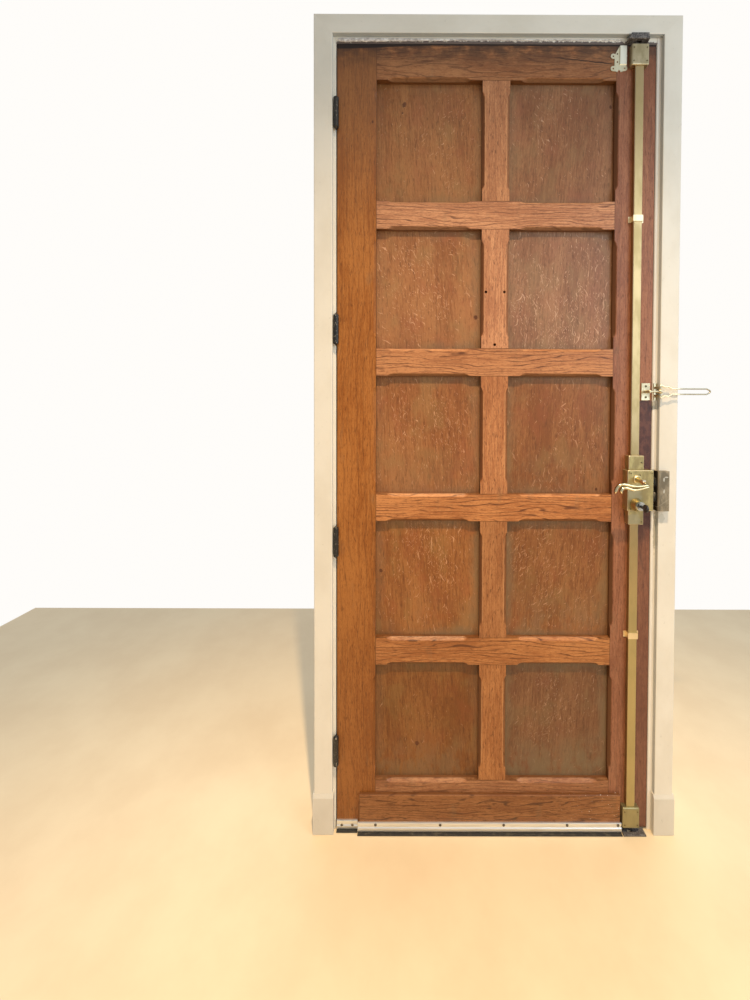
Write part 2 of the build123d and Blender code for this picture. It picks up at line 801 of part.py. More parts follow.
with BuildPart() as lever_handle:
    round_bar(lever_place, lever_neck_radius, (neck_front, follower_y[0]))
    with BuildSketch(Plane.XZ.offset(-arm_y[1])) as arm_outline:
        with BuildLine():
            Spline(
                lever_point(7, -12),
                lever_point(5, -4),
                lever_point(-6, -3),
                lever_point(-24, -8),
                lever_point(-40, -9),
                lever_point(-55, -5),
                lever_point(-67, -2.5),
                lever_point(-78, -6),
                lever_point(-86, -14),
                lever_point(-89, -23),
                lever_point(-87, -30),
            )
            Spline(
                lever_point(-87, -30),
                lever_point(-83.5, -26),
                lever_point(-80, -20.5),
                lever_point(-76, -21),
                lever_point(-72, -27),
                lever_point(-69, -32),
            )
            Spline(
                lever_point(-69, -32),
                lever_point(-63, -26),
                lever_point(-54, -22.5),
                lever_point(-39, -25.5),
                lever_point(-24, -25),
                lever_point(-9, -21),
                lever_point(4, -17),
                lever_point(7, -12),
            )
        make_face()
        with Locations(lever_place):
            Circle(lever_hub_radius)
    extrude(arm_outline.sketch, amount=lever_arm_thickness)
    arm_front = lever_handle.faces().sort_by(Axis.Y)[0]
    chamfer(arm_front.edges(), 1.5)
    spindle_socket = about(lever_place[0], spindle_size), about(lever_place[1], spindle_size)
    block(spindle_socket[0], (neck_front + 4, follower_y[0]), spindle_socket[1], Mode.SUBTRACT)
keep(lever_handle, "lever_handle")

with BuildPart() as lever_spindle:
    round_bar(lever_place, lever_hub_radius, follower_y)
    block(spindle_socket[0], (neck_front + 4, follower_y[0]), spindle_socket[1])
keep(lever_spindle, "lever_spindle")

# Key cylinder through the case and the stile, with a tapered rose on each face
cylinder_front = -case_depth - cylinder_proud
cylinder_back = leaf_thickness + outer_rose_height + 1


def turned_ring(face_y, front_y, base_radius, front_radius):
    """A rose: a tapered ring round the key cylinder, from the face it sits on to its own front."""
    bore = cylinder_radius + cylinder_clearance
    origin = (cylinder_place[0], 0, cylinder_place[1])
    with BuildSketch(Plane(origin=origin, x_dir=(1, 0, 0), z_dir=(0, 0, 1))) as half_section:
        with BuildLine():
            Polyline(
                (bore, face_y),
                (base_radius, face_y),
                (front_radius, front_y),
                (bore, front_y),
                close=True,
            )
        make_face()
    revolve(half_section.sketch, axis=Axis(origin, (0, 1, 0)))


with BuildPart() as cylinder_roses:
    turned_ring(-case_depth, -case_depth - rose_height, rose_base_radius, rose_front_radius)
    turned_ring(leaf_thickness, leaf_thickness + outer_rose_height, rose_base_radius, rose_front_radius)
keep(cylinder_roses, "cylinder_roses")

plug_back = cylinder_front + plug_length
with BuildPart() as cylinder_body:
    round_bar(cylinder_place, cylinder_radius, (cylinder_front, cylinder_back))
    chamfer(cylinder_body.faces().sort_by(Axis.Y)[0].edges(), 0.8)
    bore_y = (cylinder_front, plug_back + tenon_end_gap)
    round_bar(cylinder_place, plug_radius + plug_clearance, bore_y, Mode.SUBTRACT)
    outer_keyway = about(cylinder_place[0], keyway_width), about(cylinder_place[1], key_blade_height)
    block(outer_keyway[0], (cylinder_back - key_neck_length, cylinder_back), outer_keyway[1], Mode.SUBTRACT)
keep(cylinder_body, "cylinder_body")

keyway_z = about(cylinder_place[1], key_blade_height + 2 * plug_clearance)
with BuildPart() as cylinder_plug:
    round_bar(cylinder_place, plug_radius, (cylinder_front, plug_back))
    keyway_y = (cylinder_front, cylinder_front + key_blade_length + tenon_end_gap)
    block(about(cylinder_place[0], keyway_width), keyway_y, keyway_z, Mode.SUBTRACT)
keep(cylinder_plug, "cylinder_plug")

bow_centre_y = cylinder_front - key_neck_length - key_bow_radius
with BuildPart() as key:
    blade_y = (bow_centre_y, cylinder_front + key_blade_length)
    block(about(cylinder_place[0], key_thickness), blade_y, about(cylinder_place[1], key_blade_height))
    bow_plane = Plane.YZ.offset(cylinder_place[0] - key_bow_thickness / 2)
    with BuildSketch(bow_plane) as bow:
        with Locations((bow_centre_y, cylinder_place[1])):
            Circle(key_bow_radius)
        with Locations((bow_centre_y - key_bow_radius * 0.55, cylinder_place[1])):
            Circle(key_bow_radius * 0.22, mode=Mode.SUBTRACT)
    extrude(bow.sketch, amount=key_bow_thickness)
keep(key, "key")

# Strike box on the lock jamb, with a mouth for each bolt
with BuildPart() as strike_box:
    block(strike_x, (-strike_depth, 0), strike_z)
    left_front = strike_box.edges().filter_by(Axis.Z).group_by(Axis.Y)[0].sort_by(Axis.X)[0]
    chamfer(left_front, strike_bevel)
    hollow_x = (strike_x[0] + strike_wall, strike_x[1] - strike_wall)
    hollow_z = (strike_z[0] + strike_wall, strike_z[1] - strike_wall)
    block(hollow_x, (strike_wall - strike_depth, 0), hollow_z, Mode.SUBTRACT)
    mouth_y = (bolt_y[0] - strike_mouth_clearance, bolt_y[1] + strike_mouth_clearance)
    for low, high in (latch_z, dead_bolt_z):
        mouth_z = (low - strike_mouth_clearance, high + strike_mouth_clearance)
        block((strike_x[0], hollow_x[0]), mouth_y, mouth_z, Mode.SUBTRACT)
keep(strike_box, "strike_box")

# Keepers for the two rods: a cast block under the head, and a plate on the floor
keeper_hole_x = about(rod_x, rod_width + 2 * keeper_hole_clearance)
keeper_hole_y = about(-rod_centre_depth, rod_thickness + 2 * keeper_hole_clearance)

with BuildPart() as head_keeper:
    keeper_left = rod_x - head_keeper_lead
    keeper_right = keeper_left + head_keeper_width
    with BuildSketch(Plane.XZ):
        with BuildLine():
            Polyline(
                (keeper_left, rebate_top),
                (keeper_right, rebate_top),
                (keeper_right - head_keeper_taper_right, trim_inner_top),
                (keeper_left + head_keeper_taper_left, trim_inner_top),
                close=True,
            )
        make_face()
    extrude(amount=head_keeper_depth)
    fillet(head_keeper.faces().sort_by(Axis.Y)[0].edges(), keeper_round)
    block(keeper_hole_x, keeper_hole_y, (rebate_top, trim_inner_top), Mode.SUBTRACT)
keep(head_keeper, "head_keeper")

with BuildPart() as floor_keeper:
    plate_left = rod_x - floor_keeper_lead
    block((plate_left, plate_left + floor_keeper_width), (-floor_keeper_depth, 0), (0, floor_keeper_thickness))
    chamfer(floor_keeper.faces().sort_by(Axis.Z)[-1].edges(), 1)
    block(keeper_hole_x, keeper_hole_y, (0, floor_keeper_thickness), Mode.SUBTRACT)
keep(floor_keeper, "floor_keeper")

# Door guard: a ball on the leaf, and a wire hoop that turns on two lugs on the frame
ball_centre = (guard_axis_x, -guard_axis_depth, guard_height)

with BuildPart() as guard_stud:
    plate_x = about(guard_plate_x, guard_plate_width)
    plate_z = about(guard_height, guard_plate_height)
    block(plate_x, (-guard_plate_thickness, 0), plate_z)
    chamfer(guard_stud.faces().sort_by(Axis.Y)[0].edges(), 1)
    post_y = (-guard_axis_depth - guard_post_radius, 0)
    round_bar((guard_plate_x, guard_height), guard_post_radius, post_y)
    chamfer(guard_stud.faces().sort_by(Axis.Y)[0].edges(), guard_post_arris)
    with BuildSketch(Plane.YZ.offset(guard_plate_x)) as arm_section:
        with Locations((-guard_axis_depth, guard_height)):
            Circle(guard_arm_radius)
    extrude(arm_section.sketch, amount=guard_axis_x - guard_plate_x)
    with Locations(ball_centre):
        Sphere(guard_ball_radius)
keep(guard_stud, "guard_stud")

lug_places = [
    (guard_height - guard_lug_gap / 2 - guard_lug_thickness, guard_height - guard_lug_gap / 2),
    (guard_height + guard_lug_gap / 2, guard_height + guard_lug_gap / 2 + guard_lug_thickness),
]
with BuildPart() as guard_base:
    base_x = (guard_axis_x - guard_lug_radius - 1, trim_inner_right)
    block(base_x, (-guard_base_thickness, 0), about(guard_height, guard_base_height))
    for low, high in lug_places:
        with BuildSketch(Plane.XY.offset(low)) as lug:
            with Locations((guard_axis_x, -guard_axis_depth)):
                Circle(guard_lug_radius)
            with Locations((guard_axis_x, -guard_axis_depth / 2)):
                Rectangle(2 * guard_lug_radius, guard_axis_depth)
            with Locations((guard_axis_x, -guard_axis_depth)):
                Circle(hoop_wire_radius + hoop_pin_clearance, mode=Mode.SUBTRACT)
        extrude(lug.sketch, amount=high - low)
keep(guard_base, "guard_base")

with BuildPart() as guard_hoop:
    pin_inner = guard_lug_gap / 2 + hoop_end_gap
    wide_up = hoop_wide_height / 2
    slot_up = hoop_slot_height / 2
    swell_at = hoop_waist_length + hoop_swell_length
    tip_at = hoop_length - hoop_tip_length
    upper_bends = [
        (0, wide_up - hoop_shoulder),
        (hoop_shoulder, wide_up),
        (hoop_waist_length, hoop_waist_height / 2),
        (swell_at, hoop_swell_height / 2),
        (swell_at + hoop_taper_length, slot_up),
        (tip_at, slot_up),
        (hoop_length - hoop_tip_length * 0.3, slot_up * 0.55),
        (hoop_length, hoop_tip_height / 2),
    ]
    lower_bends = [(x, -up) for x, up in reversed(upper_bends)]
    bends = [(0, pin_inner), *upper_bends, *lower_bends, (0, -pin_inner)]
    hoop_plane = Plane(origin=ball_centre, x_dir=(1, 0, 0), z_dir=(0, -1, 0))
    with BuildLine(hoop_plane) as hoop_path:
        Polyline(*bends)
    wire_start = Plane(origin=hoop_plane.from_local_coords((0, pin_inner, 0)), z_dir=(0, 0, 1))
    with BuildSketch(wire_start) as wire:
        Circle(hoop_wire_radius)
    sweep(wire.sketch, path=hoop_path.wire(), transition=Transition.RIGHT)
keep(guard_hoop, "guard_hoop")

# Small brass catch plate near the leaf's top corner: a lobed plate under a thicker tab
catch_x = leaf_right - catch_setback
catch_top = leaf_top - catch_top_gap


def catch_point(across, up):
    """A point of the catch plate, measured from the tab's top right corner."""
    return (catch_x + across, catch_top + up)


with BuildPart() as top_catch:
    with BuildSketch(Plane.XZ) as plate:
        with BuildLine():
            Polyline(
                catch_point(-19, 0),
                catch_point(0, 0),
                catch_point(0, -25),
                catch_point(2.5, -27),
                catch_point(0, -29),
                catch_point(0, -56.5),
                catch_point(-6, -68.5),
                catch_point(-16, -71.5),
                catch_point(-21, -65),
                catch_point(-25, -71.5),
                catch_point(-35, -69.5),
                catch_point(-33.5, -52),
                catch_point(-33.5, -37),
                catch_point(-31, -21.5),
                close=True,
            )
        make_face()
        lobe_places = [catch_point(-37, -28.5), catch_point(-37, -62.5), catch_point(-5, -61.5)]
        with Locations(*lobe_places):
            Circle(catch_lobe_radius)
        with Locations(*lobe_places, catch_point(-26, -22), catch_point(-25.5, -44.5)):
            Circle(catch_screw_radius, mode=Mode.SUBTRACT)
    extrude(amount=catch_thickness)
    with BuildSketch(Plane.XZ) as tab:
        with BuildLine():
            Polyline(
                catch_point(-19, 0),
                catch_point(0, 0),
                catch_point(0, -52),
                catch_point(-19.5, -52),
                close=True,
            )
        make_face()
    extrude(tab.sketch, amount=catch_tab_thickness)
    tab_edges = top_catch.faces().sort_by(Axis.Y)[0].edges()
    chamfer(tab_edges, catch_tab_arris)
keep(top_catch, "top_catch")
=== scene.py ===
"""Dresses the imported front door: its timbers, paint, brass and iron, and the small things fixed to them.

Lengths are in metres. X runs from the hinge side to the lock side, -Y into the room and +Z up.
"""

import bpy
import numpy as np
from math import pi, radians
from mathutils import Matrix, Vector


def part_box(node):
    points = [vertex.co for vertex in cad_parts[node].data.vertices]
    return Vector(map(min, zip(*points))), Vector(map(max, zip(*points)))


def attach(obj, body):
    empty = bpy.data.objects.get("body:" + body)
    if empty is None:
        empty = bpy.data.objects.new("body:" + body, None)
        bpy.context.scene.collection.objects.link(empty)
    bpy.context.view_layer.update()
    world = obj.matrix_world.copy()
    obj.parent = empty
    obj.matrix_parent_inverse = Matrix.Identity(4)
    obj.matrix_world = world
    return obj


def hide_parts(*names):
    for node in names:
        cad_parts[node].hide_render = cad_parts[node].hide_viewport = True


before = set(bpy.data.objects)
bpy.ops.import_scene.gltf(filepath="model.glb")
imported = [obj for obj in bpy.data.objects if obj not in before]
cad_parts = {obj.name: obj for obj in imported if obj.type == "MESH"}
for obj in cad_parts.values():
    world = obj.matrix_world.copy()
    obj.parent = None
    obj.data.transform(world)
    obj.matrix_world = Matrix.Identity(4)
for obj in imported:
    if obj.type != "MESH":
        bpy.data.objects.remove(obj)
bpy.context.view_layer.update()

# Room: a pale warm stone floor, a narrow warm lamp in the ceiling, and cool daylight from the lock side.
# The camera stands at head height a little to the hinge side, with a short lens.
camera_place = (-0.2335, -1.0757, 1.2122)
camera_turn = (89.1, -0.194, -0.063)
lens_length = 13.679
lens_shift = (-0.0373, -0.0861)
floor_half_width = 2.5
floor_near = -4.0
floor_far = 1.2
floor_top = -0.0005
floor_light = (0.80, 0.67, 0.46, 1)
floor_dark = (0.74, 0.60, 0.40, 1)
lamp_place = (-0.1, -1.15, 3.5)
lamp_colour = (1.0, 0.72, 0.42)
lamp_power = 490.0
lamp_beam = 84
lamp_radius = 0.035
window_place = (1.7, -1.5, 1.9)
window_aim = (72, 0, 52)
window_size = (1.4, 1.9)
window_colour = (0.80, 0.92, 1.0)
window_power = 22.0
room_left = (0.32, 0.32, 0.31, 1)
room_right = (0.54, 0.57, 0.58, 1)
room_behind = (1.0, 0.98, 0.95, 1)


def feed(tree, socket, value):
    """Give an input either another node's output or a plain value."""
    if isinstance(value, bpy.types.NodeSocket):
        tree.links.new(value, socket)
    else:
        socket.default_value = value


def add(tree, kind, inputs=(), **settings):
    """Add one shader node, set its properties and feed its inputs by name or number."""
    made = tree.nodes.new("ShaderNode" + kind)
    for key, value in settings.items():
        setattr(made, key, value)
    for key, value in dict(inputs).items():
        feed(tree, made.inputs[key], value)
    return made


def vector(tree, operation, *values):
    """One step of arithmetic on places."""
    return add(tree, "VectorMath", dict(enumerate(values)), operation=operation).outputs[0]


def axes(tree, place):
    """A place's or a direction's X, Y and Z."""
    return add(tree, "SeparateXYZ", {0: place}).outputs


def ramp(tree, value, low, high, at_low=0.0, at_high=1.0):
    """Fade smoothly from one strength to another between two limits of a value."""
    limits = {"Value": value, 1: low, 2: high, 3: at_low, 4: at_high}
    return add(tree, "MapRange", limits, interpolation_type="SMOOTHSTEP").outputs[0]


def mottle(tree, place, cells, detail=2.0, roughness=0.5, distortion=0.0):
    """Cloudy variation, with so many cells to the metre along X, Y and Z."""
    return add(tree, "TexNoise", {
        "Vector": vector(tree, "MULTIPLY", place, cells), "Scale": 1.0, "Detail": detail,
        "Roughness": roughness, "Distortion": distortion,
    }).outputs[0]


def lay(tree, strength, below, above):
    """Lay one colour over another."""
    return add(tree, "Mix", {0: strength, 6: below, 7: above}, data_type="RGBA").outputs[2]


def finish(name, **plain):
    """A new material and its shader, with the shader's plain values set."""
    made = bpy.data.materials.new(name)
    made.use_nodes = True
    shader = made.node_tree.nodes["Principled BSDF"]
    for key, value in plain.items():
        shader.inputs[key.replace("_", " ")].default_value = value
    return made, made.node_tree, shader


def own_place(tree, shift=(0.0, 0.0, 0.0), turn=(0.0, 0.0, 0.0)):
    """The piece's own coordinates, moved and turned so that like pieces differ."""
    position = add(tree, "TexCoord").outputs["Object"]
    return add(tree, "Mapping", {"Vector": position, "Location": shift, "Rotation": turn}).outputs[0]


def surface(name, points, faces, material, smooth=True):
    """Put a worked-out surface in the scene as one mesh with one material."""
    mesh = bpy.data.meshes.new(name)
    mesh.from_pydata(np.asarray(points).tolist(), [], [[int(corner) for corner in face] for face in faces])
    mesh.polygons.foreach_set("use_smooth", [smooth] * len(mesh.polygons))
    mesh.materials.append(material)
    mesh.update()
    piece = bpy.data.objects.new(name, mesh)
    bpy.context.collection.objects.link(piece)
    return piece


stone, tree, shader = finish("pale_stone_floor", Roughness=0.55)
cloud = mottle(tree, own_place(tree), (3.0, 3.0, 3.0), 5.0, 0.6)
feed(tree, shader.inputs["Base Color"], lay(tree, ramp(tree, cloud, 0.3, 0.7), floor_dark, floor_light))
corners = [(-floor_half_width, floor_near), (floor_half_width, floor_near)]
corners += [(floor_half_width, floor_far), (-floor_half_width, floor_far)]
floor = surface("floor", [(x, y, floor_top) for x, y in corners], [(0, 1, 2, 3)], stone, False)

lens = bpy.data.cameras.new("camera")
lens.lens = lens_length
lens.shift_x, lens.shift_y = lens_shift
lens.clip_start = 0.02
camera = bpy.data.objects.new("camera", lens)
camera.location = camera_place
camera.rotation_euler = [radians(angle) for angle in camera_turn]
bpy.context.collection.objects.link(camera)
bpy.context.scene.camera = camera

lamp_data = bpy.data.lights.new("ceiling_lamp", "SPOT")
lamp_data.energy = lamp_power
lamp_data.color = lamp_colour
lamp_data.spot_size = radians(lamp_beam)
lamp_data.spot_blend = 1.0
lamp_data.shadow_soft_size = lamp_radius
lamp = bpy.data.objects.new("ceiling_lamp", lamp_data)
lamp.location = lamp_place
bpy.context.collection.objects.link(lamp)

window_data = bpy.data.lights.new("side_window", "AREA")
window_data.energy = window_power
window_data.color = window_colour
window_data.shape = "RECTANGLE"
window_data.size, window_data.size_y = window_size
window = bpy.data.objects.new("side_window", window_data)
window.location = window_place
window.rotation_euler = [radians(angle) for angle in window_aim]
bpy.context.collection.objects.link(window)

world = bpy.data.worlds.new("room")
bpy.context.scene.world = world
world.use_nodes = True
tree = world.node_tree
sides = axes(tree, add(tree, "TexCoord").outputs["Generated"])
room_light = lay(tree, ramp(tree, sides["X"], -0.7, 0.7), room_left, room_right)
room_light = lay(tree, ramp(tree, sides["Y"], -0.1, 0.35), room_light, room_behind)
feed(tree, tree.nodes["Background"].inputs["Color"], room_light)
bpy.context.scene.view_settings.view_transform = "Standard"

# Leaf timbers: stiles, rails and muntins of oak, mortised and tenoned together, stained and varnished.
# Every board has its own tone and grain. Stain and painted shade darken its chamfers, a painted highlight
# with some wear pales those that face up, soot and painted shade darken its top, and painted shade blackens
# its top edge.
oak_light = (0.50, 0.215, 0.080, 1)
oak_dark = (0.33, 0.120, 0.040, 1)
oak_pore = (0.115, 0.038, 0.014, 1)
# Painted highlight, with some wear: pales the chamfers that face up and the muntins' arrises
oak_worn_highlight = (0.70, 0.39, 0.19, 1)
old_dust = (0.17, 0.125, 0.070, 1)
# Stain in the joints, and stain with painted shade in the sunk chamfers and flanks
joint_stain_and_recess_shade = (0.115, 0.042, 0.012, 1)
# Painted shade, darkening the stiles towards their head
top_shade_oak = (0.20, 0.095, 0.050, 1)
# Soot and painted shade in a band along the leaf's top
soot_and_shade_brown = (0.045, 0.024, 0.016, 1)
# Painted shade: a near-black top edge for the shaded gap under the head
top_gap_shade_black = (0.012, 0.006, 0.005, 1)
split_dark = (0.030, 0.012, 0.006, 1)
rail_tenon = 0.038
muntin_tenon = 0.020
chamfer_width = 0.008
chamfer_back = 0.0095
chamfer_stop = 0.045
chamfer_full = 0.055
sunk_depth = (0.0004, 0.0030)
leaf_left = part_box("hinge_stile")[0][0]
leaf_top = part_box("hinge_stile")[1][2]
# The band of soot and painted shade along the top, and the near-black painted shade of the top edge, deeper
# at the hinge side
soot_and_shade_over = (leaf_top - 0.086, leaf_top + 0.004)
black_top = (leaf_top - 0.0015, leaf_top + 0.0020)
black_top_drop = (0.013, 0.0035)
black_top_drop_over = (-0.46, -0.15)
black_top_depth = (0.002, 0.006)
foot_fades = (0.1, 1.1)
head_fades = (1.6, 2.2)
face_depth = (0.001, 0.003)
any_depth = 9.0


def maths(tree, operation, *values):
    """One step of arithmetic on masks."""
    return add(tree, "Math", dict(enumerate(values)), operation=operation).outputs[0]


def times(tree, *masks):
    """The product of several masks."""
    product = masks[0]
    for mask in masks[1:]:
        product = maths(tree, "MULTIPLY", product, mask)
    return product


def new_effect(name, inputs, outputs):
    """An empty node group. Inputs are names with plain values, outputs are names with socket kinds."""
    kinds = {1: "NodeSocketFloat", 3: "NodeSocketVector", 4: "NodeSocketColor"}
    group = bpy.data.node_groups.new(name, "ShaderNodeTree")
    for label, value in inputs.items():
        size = 1 if isinstance(value, float) else len(value)
        made = group.interface.new_socket(name=label, in_out="INPUT", socket_type=kinds[size])
        made.default_value = value
    for label, kind in outputs.items():
        group.interface.new_socket(name=label, in_out="OUTPUT", socket_type="NodeSocket" + kind)
    return group, group.nodes.new("NodeGroupInput").outputs, group.nodes.new("NodeGroupOutput").inputs


def effect(tree, group, **inputs):
    """Place a node group in a material with its own values."""
    named = {key.replace("_", " "): value for key, value in inputs.items()}
    return add(tree, "Group", named, node_tree=group).outputs


def patch(tree, place, centre, reach, ragged=0.5, cells=70.0):
    """A ragged spot: 1 near an (x, z) centre, fading out at about its reach along X and Z, at any depth."""
    away = vector(tree, "SUBTRACT", place, (centre[0], 0.0, centre[1]))
    shrunk = vector(tree, "DIVIDE", away, (reach[0], any_depth, reach[1]))
    distance = add(tree, "VectorMath", {0: shrunk}, operation="LENGTH").outputs["Value"]
    noise = mottle(tree, place, (cells, cells, cells), 4.0, 0.6)
    rim = times(tree, maths(tree, "SUBTRACT", noise, 0.5), 2 * ragged)
    return ramp(tree, maths(tree, "ADD", distance, rim), 0.75, 1.05, 1.0, 0.0)


def tint(colour, lightness, greyness=0.0, redness=0.0):
    """A colour made lighter, moved towards its own grey, and made redder at the expense of yellow."""
    grey = sum(colour[:3]) / 3
    red, green, blue = ((part + (grey - part) * greyness) * lightness for part in colour[:3])
    return (red, green * (1 - redness), blue * (1 + 0.5 * redness), 1)


def complete(tree, shader, colour, roughness, height=None, strength=0.0, depth=0.0):
    """Give a shader its colour and roughness, and the relief of a height where there is one."""
    feed(tree, shader.inputs["Base Color"], colour)
    feed(tree, shader.inputs["Roughness"], roughness)
    if height is not None:
        relief = add(tree, "Bump", {"Strength": strength, "Distance": depth, "Height": height})
        feed(tree, shader.inputs["Normal"], relief.outputs[0])


def overlay(material, strength, above):
    """Lay one more colour over what a finished material shows."""
    base = material.node_tree.nodes["Principled BSDF"].inputs["Base Color"]
    feed(material.node_tree, base, lay(material.node_tree, strength, base.links[0].from_socket, above))


def dress(material, *nodes):
    """Give CAD nodes a material."""
    for node in nodes:
        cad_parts[node].data.materials.clear()
        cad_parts[node].data.materials.append(material)


# Oak with its grain along Z: slow bands, growth lines and open pores
oak, given, out = new_effect(
    "oak_grain",
    {
        "Place": (0.0, 0.0, 0.0), "Light": oak_light, "Dark": oak_dark, "Pore": oak_pore,
        "Lines": 0.5, "Line pitch": 0.012, "Wave": 5.0, "Pores": 0.6,
    },
    {"Color": "Color", "Height": "Float", "Roughness": "Float"},
)
slow = mottle(oak, given["Place"], (9.0, 9.0, 2.4), 4.0, 0.6)
streak = mottle(oak, given["Place"], (200.0, 200.0, 14.0), 4.0, 0.65, 0.3)
fibre = mottle(oak, given["Place"], (520.0, 520.0, 80.0), 3.0, 0.7)
finer = maths(oak, "ADD", times(oak, streak, 0.35), times(oak, fibre, 0.25))
tone = maths(oak, "ADD", times(oak, slow, 0.4), finer)
colour = lay(oak, ramp(oak, tone, 0.43, 0.57), given["Dark"], given["Light"])
swing = mottle(oak, given["Place"], (15.0, 15.0, 2.6), 3.0, 0.5)
across = maths(oak, "DIVIDE", axes(oak, given["Place"])["X"], given["Line pitch"])
rings = maths(oak, "ADD", across, times(oak, swing, given["Wave"]))
crest = maths(oak, "PINGPONG", rings, 0.5)
broken = ramp(oak, mottle(oak, given["Place"], (90.0, 90.0, 9.0), 2.0, 0.6), 0.34, 0.50)
line = times(oak, ramp(oak, crest, 0.36, 0.48), broken, given["Lines"])
colour = lay(oak, line, colour, given["Pore"])
long_pore = mottle(oak, given["Place"], (300.0, 300.0, 45.0), 2.0, 0.55)
fine_pore = mottle(oak, given["Place"], (800.0, 800.0, 120.0), 1.0, 0.5)
pore = maths(oak, "MAXIMUM", ramp(oak, long_pore, 0.57, 0.68), ramp(oak, fine_pore, 0.55, 0.72, 0.0, 0.7))
pore = times(oak, pore, given["Pores"])
hollow = maths(oak, "ADD", pore, times(oak, line, 0.5))
sheen = ramp(oak, slow, 0.3, 0.7, 0.36, 0.50)
feed(oak, out["Color"], lay(oak, pore, colour, given["Pore"]))
feed(oak, out["Height"], maths(oak, "SUBTRACT", 0.5, hollow))
feed(oak, out["Roughness"], maths(oak, "ADD", sheen, times(oak, pore, 0.25)))

# How far a point lies from the nearest upright and level border of a board
border, given, out = new_effect(
    "board_border",
    {"Place": (0.0, 0.0, 0.0), "Low": (0.0, 0.0, 0.0), "High": (1.0, 1.0, 1.0)},
    {"Side": "Float", "End": "Float", "Nearest": "Float"},
)
from_low = vector(border, "SUBTRACT", given["Place"], given["Low"])
from_high = vector(border, "SUBTRACT", given["High"], given["Place"])
gaps = axes(border, vector(border, "MINIMUM", from_low, from_high))
feed(border, out["Side"], gaps["X"])
feed(border, out["End"], gaps["Z"])
feed(border, out["Nearest"], maths(border, "MINIMUM", gaps["X"], gaps["Z"]))

# What stain, painted shade, a painted highlight with some wear, and soot with painted shade do to a board
# that lies at its true place in the leaf
shade_soot_and_highlight, given, out = new_effect(
    "recess_shade_highlight_and_soot",
    {"Color": oak_light, "Place": (0.0, 0.0, 0.0), "Stain": 0.8},
    {"Color": "Color"},
)
here = axes(shade_soot_and_highlight, given["Place"])
facing = axes(shade_soot_and_highlight, add(shade_soot_and_highlight, "NewGeometry").outputs["Normal"])
# Stain and painted shade in the sunk chamfers and flanks: most where they face -X or down, least where they
# face up
upward = ramp(shade_soot_and_highlight, facing["Z"], 0.2, 0.6)
shaded = ramp(shade_soot_and_highlight, facing["X"], -0.5, 0.5, 1.0, 0.55)
shaded = times(shade_soot_and_highlight, shaded, maths(shade_soot_and_highlight, "SUBTRACT", 1.0, upward))
sunk = ramp(shade_soot_and_highlight, here["Y"], *sunk_depth)
colour = lay(shade_soot_and_highlight, times(shade_soot_and_highlight, sunk, shaded, given["Stain"]), given["Color"], joint_stain_and_recess_shade)
# Painted highlight, with some wear, on the sunk faces that face up
rubbing = mottle(shade_soot_and_highlight, given["Place"], (40.0, 40.0, 120.0), 4.0, 0.65)
rubbing = ramp(shade_soot_and_highlight, rubbing, 0.40, 0.60, 0.0, 0.18)
slope = ramp(shade_soot_and_highlight, here["Y"], chamfer_width, chamfer_back, 1.0, 0.0)
colour = lay(shade_soot_and_highlight, times(shade_soot_and_highlight, sunk, upward, slope, rubbing), colour, oak_worn_highlight)
# Soot and painted shade in a mottled band along the top
top_band_mottle = ramp(shade_soot_and_highlight, mottle(shade_soot_and_highlight, given["Place"], (26.0, 26.0, 40.0), 4.0, 0.6), 0.25, 0.6)
soot_and_shade = times(shade_soot_and_highlight, ramp(shade_soot_and_highlight, here["Z"], *soot_and_shade_over), top_band_mottle, 0.85)
colour = lay(shade_soot_and_highlight, soot_and_shade, colour, soot_and_shade_brown)
# Painted shade: a near-black top edge, deeper at the hinge side, for the shaded gap under the head
drop = ramp(shade_soot_and_highlight, here["X"], *black_top_drop_over, *black_top_drop)
top_edge = ramp(shade_soot_and_highlight, maths(shade_soot_and_highlight, "ADD", here["Z"], drop), *black_top, 0.0, 0.93)
top_edge = times(shade_soot_and_highlight, top_edge, ramp(shade_soot_and_highlight, here["Y"], *black_top_depth, 1.0, 0.0))
feed(shade_soot_and_highlight, out["Color"], lay(shade_soot_and_highlight, top_edge, colour, top_gap_shade_black))


